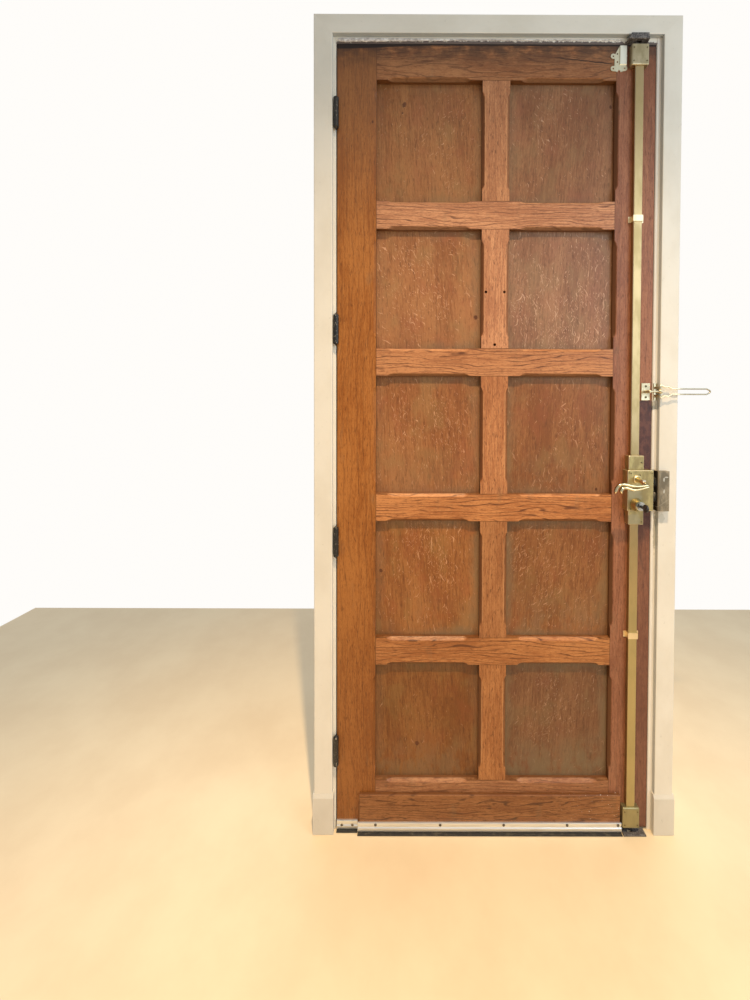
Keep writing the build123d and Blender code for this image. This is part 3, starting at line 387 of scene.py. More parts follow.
def oak_board(
    node, number, lightness, greyness, redness=0.0, level=False, stain=0.85, foot=0.0, head=0.0,
    spots=(), **grain,
):
    """Varnished oak for one board of the leaf, level or upright, with knots as (x, z, reach) spots. Foot and
    head are how much painted shade darkens it there, and stain is how strongly stain and painted shade darken
    its chamfers. Returns the material and the board's own place."""
    material, tree, shader = finish(
        node + "_oak", Specular_IOR_Level=0.3, Coat_Weight=0.06, Coat_Roughness=0.3,
    )
    straight = own_place(tree)
    tone = (lightness, greyness, redness)
    shift = (0.37 * number, 0.11 * number, 0.73 * number)
    wood = effect(
        tree, oak, Place=own_place(tree, shift, (0.0, radians(90 if level else 0), 0.0)),
        Light=tint(oak_light, *tone), Dark=tint(oak_dark, *tone), Pore=tint(oak_pore, *tone), **grain,
    )
    low, high = [list(corner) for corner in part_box(node)]
    if "rail" in node:
        low[0], high[0] = low[0] + rail_tenon, high[0] - rail_tenon
    if "muntin" in node:
        low[2], high[2] = low[2] + muntin_tenon, high[2] - muntin_tenon
    edge = effect(tree, border, Place=straight, Low=low, High=high)
    joint = ramp(tree, edge["Nearest"], 0.0003, 0.0018, 0.7, 0.0)
    colour = lay(tree, joint, wood["Color"], joint_stain_and_recess_shade)
    if "muntin" in node:
        # Painted highlight, with some wear, along the muntin's arrises
        arris = maths(tree, "ABSOLUTE", maths(tree, "SUBTRACT", edge["Side"], chamfer_width + 0.001))
        arris = ramp(tree, arris, 0.0004, 0.0018, 0.3, 0.0)
        mark_mask = times(tree, arris, ramp(tree, edge["End"], chamfer_stop, chamfer_full))
        colour = lay(tree, mark_mask, colour, oak_worn_highlight)
    soil = ramp(tree, mottle(tree, straight, (24.0, 24.0, 9.0), 4.0, 0.6), 0.58, 0.76, 0.0, 0.25)
    colour = lay(tree, soil, colour, old_dust)
    # Painted shade: the board is darkened towards its foot and towards its head
    if foot:
        height = axes(tree, straight)["Z"]
        colour = lay(tree, ramp(tree, height, *foot_fades, foot, 0.0), colour, oak_pore)
        colour = lay(tree, ramp(tree, height, *head_fades, 0.0, head), colour, top_shade_oak)
    for x, z, reach in spots:
        colour = lay(tree, patch(tree, straight, (x, z), (reach, reach * 1.4)), colour, oak_pore)
    colour = effect(tree, shade_soot_and_highlight, Color=colour, Place=straight, Stain=stain)[0]
    complete(tree, shader, colour, wood["Roughness"], wood["Height"], 0.25, 0.0006)
    dress(material, node)
    return material, straight


oak_board(
    "hinge_stile", 1, 0.78, -0.2, stain=0.35, foot=0.32, head=0.5, spots=[(-0.346, 2.012, 0.003)],
    Lines=0.30, Line_pitch=0.019, Wave=4.0,
)
cross_rail_tones = ((1.38, 0.17), (1.11, 0.06), (1.11, -0.04), (0.94, -0.06))
for number, tone in enumerate(cross_rail_tones, start=1):
    node = f"cross_rail_{number}"
    oak_board(node, 3 + number, *tone, level=True, Lines=0.95, Line_pitch=0.0095, Wave=9.0)
oak_board("bottom_rail", 8, 0.86, 0.10, level=True, Lines=0.6, Line_pitch=0.011)
muntin_tones = ((1.13, 0.12), (1.35, 0.16), (1.12, 0.03), (0.84, -0.02), (0.87, -0.05))
for number, tone in enumerate(muntin_tones, start=1):
    node = f"muntin_{number}"
    oak_board(node, 8 + number, *tone, Lines=0.2, Line_pitch=0.016, Wave=3.0, Pores=0.75)

# Top rail: a level oak board tenoned between the stiles, wide enough to have dried and split.
# The shake is a dark wandering line that closes towards both ends and falls towards the lock.
shake_from = (0.157, 2.1915)
shake_to = (0.330, 2.1740)
shake_wander = 0.008
shake_half_width = (0.0007, 0.0020)
shake_opens_over = (-0.006, 0.030)
shake_closes_over = 0.010

top_rail, straight = oak_board(
    "top_rail", 3, 0.82, 0.03, level=True, Lines=0.6, Line_pitch=0.013, Wave=8.0,
)
tree = top_rail.node_tree
here = axes(tree, straight)
fall = (shake_to[1] - shake_from[1]) / (shake_to[0] - shake_from[0])
on_line = maths(tree, "MULTIPLY_ADD", here["X"], fall, shake_from[1] - fall * shake_from[0])
wander = mottle(tree, straight, (28.0, 28.0, 6.0), 3.0, 0.6)
on_line = maths(tree, "MULTIPLY_ADD", wander, shake_wander, on_line)
off_line = maths(tree, "SUBTRACT", maths(tree, "ADD", here["Z"], shake_wander / 2), on_line)
opened = times(
    tree,
    ramp(tree, maths(tree, "ABSOLUTE", off_line), *shake_half_width, 0.95, 0.0),
    ramp(tree, here["Y"], *face_depth, 1.0, 0.0),
    ramp(tree, here["X"], *(shake_from[0] + step for step in shake_opens_over)),
    ramp(tree, here["X"], shake_to[0] - shake_closes_over, shake_to[0], 1.0, 0.0),
)
overlay(top_rail, opened, split_dark)

# Lock stile: the upright that carries the lock, a redder board mortised for the rails.
# Its face is rubbed dark and purple between the rod cover and the edge, below the guard.
rubbed_from = (0.400, 0.406)
rubbed_below = (1.232, 1.240)
rubbed_fades = (0.80, 0.92)

lock_stile, straight = oak_board(
    "lock_stile", 2, 0.77, 0.10, 0.09, stain=0.95, foot=0.15, Lines=0.25, Line_pitch=0.020, Wave=4.0,
)
tree = lock_stile.node_tree
here = axes(tree, straight)
beside_rod = times(
    tree,
    ramp(tree, here["X"], *rubbed_from),
    ramp(tree, here["Z"], *rubbed_below, 0.88, 0.0),
    ramp(tree, here["Z"], *rubbed_fades, 0.45, 1.0),
    ramp(tree, here["Y"], *face_depth, 1.0, 0.0),
)
bruise = ramp(tree, mottle(tree, straight, (70.0, 70.0, 45.0), 5.0, 0.7), 0.42, 0.60)
overlay(lock_stile, beside_rod, lay(tree, bruise, (0.045, 0.020, 0.026, 1), (0.105, 0.045, 0.040, 1)))

# Panels: ten flat boards of quartered oak, held loose in grooves and varnished with the leaf.
# Pale ray flecks lie in patches on them; dust and painted shade darken their borders, more on one side than
# the other, and dust lies most at the foot.
panel_reach = 0.010
oak_olive = (0.40, 0.225, 0.085, 1)
oak_red = (0.42, 0.130, 0.055, 1)
ray_pale = (0.80, 0.44, 0.25, 1)
panel_grime_and_shade = (0.185, 0.135, 0.075, 1)
grime_and_shade_side = 0.08
grime_rise = 0.17
ray_layers = ((0.0085, 0.46, 0.085, 1.3), (0.019, 0.48, 0.062, 0.9), (0.036, 0.48, 0.055, 0.0))

# Short curved strokes, one to a cell, in three sizes: cell width, half length and half width in cells,
# and how common they are; the largest are as common as the board says
rays, given, out = new_effect(
    "ray_flecks",
    {"Place": (0.0, 0.0, 0.0), "Lean": 0.0, "Density": 0.5, "Large": 0.0},
    {"Mask": "Float"},
)
parts = axes(rays, given["Place"])
flat = add(rays, "CombineXYZ", {0: parts["X"], 1: parts["Z"], 2: 0.0}).outputs[0]
drift = add(rays, "TexNoise", {"Vector": flat, "Scale": 45.0, "Detail": 2.0}).outputs["Color"]
drift = vector(rays, "SUBTRACT", drift, (0.5, 0.5, 0.5))
drift = add(rays, "VectorMath", {0: drift, "Scale": 0.016}, operation="SCALE").outputs[0]
flat = vector(rays, "ADD", flat, drift)
clump = ramp(rays, mottle(rays, given["Place"], (20.0, 20.0, 12.0), 3.0, 0.6), 0.40, 0.62, 0.15, 1.0)
together = 0.0
for cell, long, thin, share in ray_layers:
    scaled = add(rays, "VectorMath", {0: flat, "Scale": 1 / cell}, operation="SCALE").outputs[0]
    shifted = vector(rays, "ADD", scaled, (7.3, 3.1, 0.0))
    cells = add(rays, "TexVoronoi", {"Vector": shifted, "Scale": 1.0}, voronoi_dimensions="2D").outputs
    chance = add(rays, "SeparateColor", {0: cells["Color"]}).outputs
    local = vector(rays, "SUBTRACT", shifted, cells["Position"])
    swing = times(rays, maths(rays, "SUBTRACT", chance[0], 0.5), 1.3)
    angle = maths(rays, "ADD", maths(rays, "ADD", swing, given["Lean"]), pi / 2)
    turned = add(rays, "VectorRotate", {"Vector": local, "Angle": angle}, rotation_type="Z_AXIS")
    stroke = axes(rays, turned.outputs[0])
    reach = maths(rays, "DIVIDE", stroke["X"], long)
    square = times(rays, reach, reach)
    bow = times(rays, square, maths(rays, "SUBTRACT", chance[1], 0.5), 0.45)
    width = maths(rays, "DIVIDE", maths(rays, "ABSOLUTE", maths(rays, "ADD", stroke["Y"], bow)), thin)
    body = ramp(rays, maths(rays, "ADD", width, square), 0.45, 1.05, 1.0, 0.0)
    likely = times(rays, given["Density"], share or given["Large"])
    shown = maths(rays, "LESS_THAN", chance[2], times(rays, clump, likely))
    strength = ramp(rays, chance[1], 0.0, 1.0, 0.4, 1.0)
    together = maths(rays, "MAXIMUM", together, times(rays, body, shown, strength))
feed(rays, out["Mask"], together)


def panel_board(node, number, tone, figure, bunch, grime_and_shade, spots=()):
    """Quartered oak for one panel. Its tone is (lightness, greyness) and its figure (how many rays, their
    lean, how many large ones), thickest in the bunch (x, z, reach x, reach z). The grime argument is (left,
    right, foot): how much dust and painted shade darken the borders at its left and at its right, and how
    much dust lies at its foot. Knots are (x, z, reach) spots."""
    material, tree, shader = finish(
        node + "_oak", Specular_IOR_Level=0.3, Coat_Weight=0.05, Coat_Roughness=0.35,
    )
    straight = own_place(tree)
    grain_lean = radians(3 if number % 2 else -4)
    place = own_place(tree, (0.41 * number, 0.07, 0.29 * number), (0.0, grain_lean, 0.0))
    wood = effect(
        tree, oak, Place=place, Lines=0.10, Line_pitch=0.030, Wave=3.0, Pores=0.45,
        Light=tint(oak_light, *tone), Dark=tint(oak_dark, *tone), Pore=tint(oak_pore, *tone),
    )
    cloudy = mottle(tree, straight, (13.0, 13.0, 8.0), 4.0, 0.65)
    colour = lay(tree, ramp(tree, cloudy, 0.50, 0.66, 0.0, 0.4), wood["Color"], tint(oak_olive, *tone))
    colour = lay(tree, ramp(tree, cloudy, 0.34, 0.48, 0.35, 0.0), colour, tint(oak_red, *tone))
    within = patch(tree, straight, bunch[:2], bunch[2:], 0.5, 16.0)
    thickness = times(tree, figure[0], maths(tree, "ADD", 0.3, times(tree, within, 0.7)))
    fleck = effect(tree, rays, Place=place, Density=thickness, Lean=figure[1], Large=figure[2])[0]
    colour = lay(tree, times(tree, fleck, 0.75), colour, tint(ray_pale, tone[0] * 1.1, tone[1]))
    low, high = [list(corner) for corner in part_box(node)]
    for axis in (0, 2):
        low[axis], high[axis] = low[axis] + panel_reach, high[axis] - panel_reach
    edge = effect(tree, border, Place=straight, Low=low, High=high)
    cloud = mottle(tree, straight, (30.0, 30.0, 16.0), 4.0, 0.6)
    left, right, foot = grime_and_shade
    here = axes(tree, straight)
    # Dust and painted shade along the borders, stronger on one side
    uneven = maths(tree, "ADD", edge["Nearest"], times(tree, cloud, -0.06))
    sides = ramp(tree, here["X"], low[0] + grime_and_shade_side, high[0] - grime_and_shade_side, left, right)
    around = times(tree, ramp(tree, uneven, -0.034, 0.008, 1.0, 0.0), sides)
    low_down = ramp(tree, here["Z"], low[2], low[2] + grime_rise, 1.0, 0.0)
    low_down = times(tree, low_down, ramp(tree, cloud, 0.35, 0.6), foot)
    dust_and_shade = maths(tree, "MAXIMUM", around, low_down)
    colour = lay(tree, dust_and_shade, colour, panel_grime_and_shade)
    for x, z, reach in spots:
        knot = patch(tree, straight, (x, z), (reach, reach * 1.3), 0.7, 160.0)
        colour = lay(tree, knot, colour, oak_pore)
    roughness = maths(tree, "ADD", wood["Roughness"], times(tree, dust_and_shade, 0.2))
    height = maths(tree, "ADD", wood["Height"], times(tree, fleck, 0.3))
    complete(tree, shader, colour, roughness, height, 0.2, 0.0005)
    dress(material, node)


panel_board(
    "panel_1_left", 1, (0.65, -0.05), (0.45, 0.6, 0.0), (-0.121, 1.941, 0.08, 0.13), (0.15, 0.25, 0.1),
    [(-0.258, 2.071, 0.006), (-0.263, 2.048, 0.003)],
)
panel_board(
    "panel_1_right", 2, (0.70, 0.13), (0.35, -0.5, 0.0), (0.177, 2.020, 0.09, 0.09), (0.35, 0.2, 0.1),
    [(0.327, 2.067, 0.004)],
)
panel_board(
    "panel_2_left", 3, (0.78, 0.02), (0.85, -0.6, 0.5), (-0.215, 1.560, 0.09, 0.17), (0.15, 0.5, 0.1),
    [(-0.052, 1.471, 0.006)],
)
panel_board("panel_2_right", 4, (0.80, 0.27), (1.1, -0.2, 1.1), (0.176, 1.470, 0.15, 0.14), (0.3, 0.2, 0.1))
panel_board("panel_3_left", 5, (0.73, -0.02), (0.7, -0.2, 0.05), (-0.198, 1.150, 0.12, 0.14), (0.2, 0.4, 0.2))
panel_board(
    "panel_3_right", 6, (0.64, 0.0), (0.65, -0.1, 0.9), (0.229, 1.098, 0.07, 0.15), (0.4, 0.25, 0.3),
    [(0.298, 0.980, 0.004)],
)
panel_board(
    "panel_4_left", 7, (0.67, -0.1), (0.9, 0.1, 0.3), (-0.198, 0.785, 0.13, 0.12), (0.3, 0.6, 0.2),
    [(-0.322, 0.742, 0.005)],
)
panel_board("panel_4_right", 8, (0.58, -0.04), (1.1, 0.45, 0.3), (0.125, 0.759, 0.10, 0.13), (0.6, 0.35, 0.4))
panel_board(
    "panel_5_left", 9, (0.48, -0.13), (0.12, 0.1, 0.0), (-0.190, 0.300, 0.1, 0.1), (0.2, 0.25, 0.4),
    [(-0.215, 0.237, 0.006)],
)
panel_board("panel_5_right", 10, (0.46, 0.10), (0.8, 0.3, 0.2), (0.150, 0.344, 0.07, 0.12), (0.5, 0.6, 0.75))

# Weather board: a bevelled oak board glued and pinned across the leaf's foot.
# It is splashed with old paint, most of it towards the lock.
paint_splash = (0.80, 0.74, 0.62, 1)
splashed_from = (0.12, 0.34)

weather_board, straight = oak_board(
    "weather_board", 21, 0.64, -0.03, level=True, Lines=0.85, Line_pitch=0.017, Wave=9.0,
)
tree = weather_board.node_tree
specks = ramp(tree, mottle(tree, straight, (240.0, 240.0, 240.0), 2.0, 0.6), 0.68, 0.72)
toward_lock = ramp(tree, axes(tree, straight)["X"], *splashed_from)
overlay(weather_board, times(tree, specks, toward_lock), paint_splash)

# Door frame: rebated softwood jambs and head, brush-painted in a warm off-white, worn on the arrises.
# The architraves are mitred boards nailed over the jambs' outer edges; plinth blocks take the knocks.
paint_colour = (0.80, 0.765, 0.68, 1)
paint_shade = (0.71, 0.665, 0.57, 1)
paint_dirt = (0.30, 0.27, 0.20, 1)
grey_green = (0.36, 0.35, 0.27, 1)
lock_gap_shade_black = (0.025, 0.020, 0.016, 1)
gap_shade_dark = (0.085, 0.060, 0.062, 1)
aside_dust_and_shade = (0.36, 0.40, 0.42, 1)
frame_face_depth = (0.020, 0.030)
# Marks and painted shade: x, z, reach along X and Z, strength and colour
# Grey-green marks below the strike and under the guard, and black painted shade beside the lock, where the
# gap between case and strike lies in shade
lock_marks_and_shade = (
    (0.470, 0.904, 0.009, 0.014, 0.35, grey_green), (0.4575, 0.860, 0.004, 0.060, 0.6, grey_green),
    (0.450, 1.222, 0.010, 0.013, 0.7, grey_green), (0.443, 0.984, 0.008, 0.056, 0.95, lock_gap_shade_black),
)
# Painted shade: a dark band along the head's face under the filler bead, for the shaded gap over the leaf
head_gap_shade = (0.0, 2.2255, 0.9, 0.0115, 0.94, gap_shade_dark)

brushed, given, out = new_effect(
    "brushed_paint",
    {
        "Place": (0.0, 0.0, 0.0), "Paint": paint_colour, "Shade": paint_shade, "Dirt": paint_dirt,
        "Soiling": 0.3,
    },
    {"Color": "Color", "Height": "Float", "Roughness": "Float"},
)
cloud = mottle(brushed, given["Place"], (9.0, 9.0, 5.0), 4.0, 0.6)
brush = mottle(brushed, given["Place"], (650.0, 650.0, 22.0), 2.0, 0.6)
colour = lay(brushed, ramp(brushed, cloud, 0.35, 0.70, 0.0, 0.7), given["Paint"], given["Shade"])
marks = ramp(brushed, mottle(brushed, given["Place"], (70.0, 70.0, 60.0), 5.0, 0.7), 0.62, 0.76)
soiled = times(brushed, marks, given["Soiling"])
feed(brushed, out["Color"], lay(brushed, soiled, colour, given["Dirt"]))
feed(brushed, out["Height"], maths(brushed, "SUBTRACT", brush, times(brushed, soiled, 0.5)))
feed(brushed, out["Roughness"], ramp(brushed, cloud, 0.3, 0.7, 0.42, 0.55))


def painted(name, nodes, level=False, soiling=0.3, lightness=1.0, greyness=0.0, marks_and_shade=(), dust_and_shade_aside=0.0):
    """Eggshell paint for some nodes, brushed along their length. Marks and painted shade lie on the room
    side, and the last argument is how much dust and painted shade darken the faces that look aside or down."""
    material, tree, shader = finish(name)
    straight = own_place(tree)
    coat = effect(
        tree, brushed, Place=own_place(tree, turn=(0.0, radians(90 if level else 0), 0.0)), Soiling=soiling,
        Paint=tint(paint_colour, lightness, greyness), Shade=tint(paint_shade, lightness, greyness),
    )
    colour = coat["Color"]
    room_side = ramp(tree, axes(tree, straight)["Y"], *frame_face_depth, 1.0, 0.0)
    for x, z, wide, tall, strength, dirt in marks_and_shade:
        mark_mask = patch(tree, straight, (x, z), (wide, tall), 0.8, 110.0)
        colour = lay(tree, times(tree, mark_mask, room_side, strength), colour, dirt)
    # Dust and painted shade: the faces that look aside or down are drawn greyer
    if dust_and_shade_aside:
        facing = axes(tree, add(tree, "NewGeometry").outputs["Normal"])
        sideways = maths(tree, "ABSOLUTE", facing["X"])
        aside = maths(tree, "MAXIMUM", sideways, times(tree, facing["Z"], -1.0))
        colour = lay(tree, ramp(tree, aside, 0.5, 0.8, 0.0, dust_and_shade_aside), colour, aside_dust_and_shade)
    complete(tree, shader, colour, coat["Roughness"], coat["Height"], 0.15, 0.0004)
    dress(material, *nodes)


painted("hinge_jamb_paint", ["hinge_jamb"], soiling=0.6)
# Painted light: the lock jamb is given a lighter, greyer copy of the paint
painted("lock_jamb_paint", ["lock_jamb"], lightness=1.22, greyness=0.5, marks_and_shade=lock_marks_and_shade)
painted("head_paint", ["frame_head"], level=True, soiling=0.8, marks_and_shade=[head_gap_shade])
painted("hinge_architrave_paint", ["architrave_hinge_side"], dust_and_shade_aside=0.3)
painted("lock_architrave_paint", ["architrave_lock_side"], marks_and_shade=lock_marks_and_shade, dust_and_shade_aside=0.6)
painted("head_architrave_paint", ["architrave_head"], level=True, dust_and_shade_aside=0.9)
painted("plinth_paint", ["plinth_block_hinge_side", "plinth_block_lock_side"], soiling=0.4, lightness=0.86)

# Head joint: a lumpy bead of old filler and paint, run by hand along the joint over the leaf.
# It is thick at the hinge corner and thins out towards the rod's keeper.
bead_from = leaf_left + 0.001
bead_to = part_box("head_keeper")[0][0] - 0.006
bead_height = (leaf_top + 0.0108, leaf_top + 0.0135)
bead_stations = (0.0, 0.20, 0.45, 1.0)
bead_thickness = (0.0058, 0.0042, 0.0018, 0.0018)
bead_waves = (9, 17, 31, 52, 83)
bead_front = -0.0010
bead_flatness = 0.45
bead_swell = 0.16
bead_wander = 0.0009
bead_rings = 260
bead_sides = 14
filler_pale = (0.86, 0.84, 0.80, 1)
filler_shadow = (0.62, 0.58, 0.56, 1)
filler_blotch = (0.26, 0.21, 0.20, 1)


def grid_faces(rows, columns, start=0):
    """The quads between rows of points that run round a closed section, numbered from start."""
    row, column = np.meshgrid(np.arange(rows - 1), np.arange(columns), indexing="ij")
    following = (column + 1) % columns
    here = start + row * columns
    corners = [here + column, here + following, here + columns + following, here + columns + column]
    return np.stack(corners, -1).reshape(-1, 4)


def capped(rows, columns, start=0):
    """The same quads as a list, and one face across each end."""
    first = list(range(start + columns - 1, start - 1, -1))
    last = list(range(start + (rows - 1) * columns, start + rows * columns))
    return grid_faces(rows, columns, start).tolist() + [first, last]


# Each ring is an oval, less deep than tall. Its size is the thickness at its station, swollen by a sum
# of sine waves along the bead and closed at both ends, and the same sum lifts its centre a little.
along = np.linspace(0.0, 1.0, bead_rings)
generator = np.random.default_rng(11)
lumps = np.zeros(bead_rings)
for waves in bead_waves:
    lumps += np.sin(2 * pi * (waves * along + generator.random())) * generator.uniform(0.5, 1.0) / waves**0.35
thick = np.interp(along, bead_stations, bead_thickness) * (1 + bead_swell * lumps)
thick = thick * np.sqrt(np.clip(1 - np.abs(2 * along - 1) ** 60, 0.001, 1))
centre = np.interp(along, (0.0, 1.0), bead_height) + bead_wander * np.roll(lumps, 21)
turn = np.linspace(0, 2 * pi, bead_sides, endpoint=False)
bead_points = np.stack([
    bead_from + (bead_to - bead_from) * along[:, None] + 0 * turn,
    bead_front - bead_flatness * thick[:, None] * np.sin(turn),
    centre[:, None] + thick[:, None] * np.cos(turn),
], -1).reshape(-1, 3)
filler, tree, shader = finish("old_joint_filler", Roughness=0.7)
place = own_place(tree)
blotch = ramp(tree, mottle(tree, place, (60.0, 60.0, 90.0), 5.0, 0.7), 0.42, 0.60)
shadowed = ramp(tree, mottle(tree, place, (14.0, 14.0, 14.0), 3.0, 0.6), 0.35, 0.6)
colour = lay(tree, shadowed, filler_pale, filler_shadow)
feed(tree, shader.inputs["Base Color"], lay(tree, times(tree, blotch, 0.6), colour, filler_blotch))
bead = surface("head_joint_bead", bead_points, capped(bead_rings, bead_sides), filler)
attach(bead, "frame")

# Rod covers: pressed channels of satin brass over the two rods, held by clips and a housing at each end.
# The brass has gone olive in patches and is drawn more olive towards the floor; a painted highlight pales the
# faces that lie aslant at its arrises.
brass_bright = (0.50, 0.365, 0.190, 1)
brass_tarnish = (0.34, 0.26, 0.10, 1)
brass_arris_highlight = (0.93, 0.86, 0.62, 1)
olive_below = (0.5, 0.95)

brassy, given, out = new_effect(
    "tarnished_brass",
    {"Place": (0.0, 0.0, 0.0), "Bright": brass_bright, "Tarnish": brass_tarnish, "Age": 0.5, "Polish": 0.3},
    {"Color": "Color", "Height": "Float", "Roughness": "Float"},
)
cloud = mottle(brassy, given["Place"], (28.0, 28.0, 12.0), 5.0, 0.65)
spots = mottle(brassy, given["Place"], (230.0, 230.0, 160.0), 4.0, 0.7)
brush = mottle(brassy, given["Place"], (900.0, 900.0, 30.0), 2.0, 0.5)
clouded = times(brassy, ramp(brassy, cloud, 0.38, 0.66), given["Age"])
spotted = times(brassy, ramp(brassy, spots, 0.60, 0.72), given["Age"])
stain = maths(brassy, "MAXIMUM", clouded, spotted)
rougher = maths(brassy, "ADD", times(brassy, stain, 0.25), times(brassy, brush, 0.08))
feed(brassy, out["Color"], lay(brassy, stain, given["Bright"], given["Tarnish"]))
feed(brassy, out["Height"], maths(brassy, "ADD", brush, spots))
feed(brassy, out["Roughness"], maths(brassy, "ADD", given["Polish"], rougher))


def brass(name, age, polish, bright=brass_bright, tarnish=brass_tarnish, arris_highlight=0.0):
    """Brass of a given age and polish, with a painted highlight on the faces that lie aslant at its arrises.
    """
    material, tree, shader = finish(name, Metallic=1.0)
    place = own_place(tree)
    metal = effect(tree, brassy, Place=place, Age=age, Polish=polish, Bright=bright, Tarnish=tarnish)
    colour = metal["Color"]
    if arris_highlight:
        straight = axes(tree, vector(tree, "ABSOLUTE", add(tree, "NewGeometry").outputs["Normal"]))
        largest = maths(tree, "MAXIMUM", straight["X"], straight["Y"])
        largest = maths(tree, "MAXIMUM", largest, straight["Z"])
        # Painted highlight on the faces that lie aslant at the arrises
        colour = lay(tree, ramp(tree, largest, 0.80, 0.97, arris_highlight, 0.0), colour, brass_arris_highlight)
    complete(tree, shader, colour, metal["Roughness"], metal["Height"], 0.08, 0.0002)
    return material


cover_metal = brass("cover_brass", 0.40, 0.30, arris_highlight=0.4)
end_metal = brass("end_box_brass", 0.8, 0.38, (0.54, 0.45, 0.29, 1), (0.34, 0.28, 0.16, 1), arris_highlight=0.2)
for metal, olive, strength in (
    (cover_metal, (0.42, 0.37, 0.19, 1), 0.7), (end_metal, (0.33, 0.31, 0.17, 1), 0.8),
):
    height = axes(metal.node_tree, own_place(metal.node_tree))["Z"]
    overlay(metal, ramp(metal.node_tree, height, *olive_below, strength, 0.0), olive)
clip_metal = brass("clip_brass", 0.3, 0.34, (0.84, 0.70, 0.46, 1), (0.55, 0.44, 0.25, 1))
dress(cover_metal, "rod_cover_upper", "rod_cover_lower")
dress(end_metal, "rod_end_boxes")
dress(clip_metal, "rod_clips")

# Lock case: a brass box screwed to the stile's room face, with a collar above and below for the rods.
# Handling has dulled it to brown in two patches below the lever.
handled_patches = (((0.382, 0.962), (0.026, 0.040)), ((0.386, 0.898), (0.022, 0.024)))

case_metal = brass("case_brass", 0.9, 0.34, (0.64, 0.52, 0.24, 1), (0.33, 0.27, 0.14, 1), arris_highlight=0.8)
tree = case_metal.node_tree
place = own_place(tree)
handled = maths(tree, "MAXIMUM", *(patch(tree, place, centre, reach) for centre, reach in handled_patches))
overlay(case_metal, times(tree, handled, 0.75), (0.43, 0.38, 0.25, 1))
dress(case_metal, "lock_case", "rod_collars")

# Small brass fittings: the cylinder's turned roses, the guard's stud on the leaf and its base on the frame,
# and a catch plate that is left from an older fitting. It has dulled, and a painted reflection makes its
# folded tab near-white.
tab_from = (0.3426, 0.3434)
tab_above = (2.1690, 2.1700)

rose_metal = brass("rose_brass", 0.9, 0.32, (0.48, 0.42, 0.22, 1), (0.26, 0.22, 0.12, 1))
guard_metal = brass("guard_brass", 0.5, 0.30, (0.66, 0.58, 0.40, 1), (0.42, 0.35, 0.22, 1), arris_highlight=0.3)
catch_metal = brass("catch_brass", 0.5, 0.34, (0.82, 0.76, 0.56, 1), (0.52, 0.46, 0.30, 1))
tree = catch_metal.node_tree
here = axes(tree, own_place(tree))
# Painted reflection: the folded tab is laid near-white
tab = times(tree, ramp(tree, here["X"], *tab_from), ramp(tree, here["Z"], *tab_above))
overlay(catch_metal, tab, (0.97, 0.94, 0.80, 1))
dress(rose_metal, "cylinder_roses")
dress(guard_metal, "guard_stud", "guard_base")
dress(catch_metal, "top_catch")

# Guard hoop: brass rod bent to a long loop, whose two ends turn in the lugs of the guard's base.
# It is polished near the lugs and has gone grey-olive towards its tip.
hoop_dulls_over = (0.490, 0.530)

wire, tree, shader = finish("hoop_brass", Metallic=1.0)
place = own_place(tree)
rubbing = mottle(tree, place, (120.0, 120.0, 120.0), 4.0, 0.6)
uneven = times(tree, maths(tree, "SUBTRACT", rubbing, 0.5), 0.7)
outward = maths(tree, "ADD", ramp(tree, axes(tree, place)["X"], *hoop_dulls_over), uneven)
colour = lay(tree, ramp(tree, outward, 0.2, 0.8), (0.90, 0.82, 0.58, 1), (0.40, 0.35, 0.25, 1))
complete(tree, shader, colour, ramp(tree, rubbing, 0.3, 0.7, 0.22, 0.38))
dress(wire, "guard_hoop")

# Lever handle: one brass casting, polished by hands, with two rounded ridges that part into curled lobes.
# It grips a square spindle that passes through the follower in the case. The ridges' points are in
# millimetres from the hub.
lever_centre = (0.392, 1.016)
lever_face = -0.067
upper_ridge = [(9, -7.5), (-20, -10.5), (-37, -9.8), (-49, -7.1), (-61, -5.3), (-70, -7.0)]
upper_ridge += [(-77.5, -14), (-81.5, -22.5), (-84, -30.5)]
lower_ridge = [(9, -11), (-7, -15.3), (-21, -18.8), (-34, -20.2), (-45, -17.2), (-54.5, -14.6)]
lower_ridge += [(-62.5, -16.8), (-67.3, -22.5), (-66.5, -31.5)]
web_points = 7
ridge_depth = 0.0050
web_depth = 0.0018
web_half_width = 0.0042
neck_slide = (0.0015, -0.0085)
neck_slides_from = -0.030
neck_slides_to = -0.066
neck_profile = [(0.0001, -0.0660), (0.0030, -0.0658), (0.0050, -0.0640), (0.0060, -0.0600)]
neck_profile += [(0.0064, -0.0540), (0.0066, -0.0480), (0.0067, -0.0400), (0.0068, -0.0300)]
neck_profile += [(0.0068, -0.0240), (0.0001, -0.0239)]
neck_sides = 32
groove_front = (-0.0706, -0.0686)
groove_back = (-0.0640, -0.0600)
groove_shade = (0.20, 0.13, 0.045, 1)


def smooth_path(points, count):
    """A Catmull-Rom curve through the points: each stretch is the cubic that leaves every point along
    the line between its two neighbours."""
    points = np.asarray(points, float)
    padded = np.vstack([2 * points[0] - points[1], points, 2 * points[-1] - points[-2]])
    where = np.linspace(0, len(points) - 1, count)
    stretch = np.minimum(where.astype(int), len(points) - 2)
    t = (where - stretch)[:, None]
    a, b, c, d = (padded[stretch + step] for step in range(4))
    return 0.5 * (2 * b + (c - a) * t + (2 * a - 5 * b + 4 * c - d) * t**2 + (3 * b - a - 3 * c + d) * t**3)


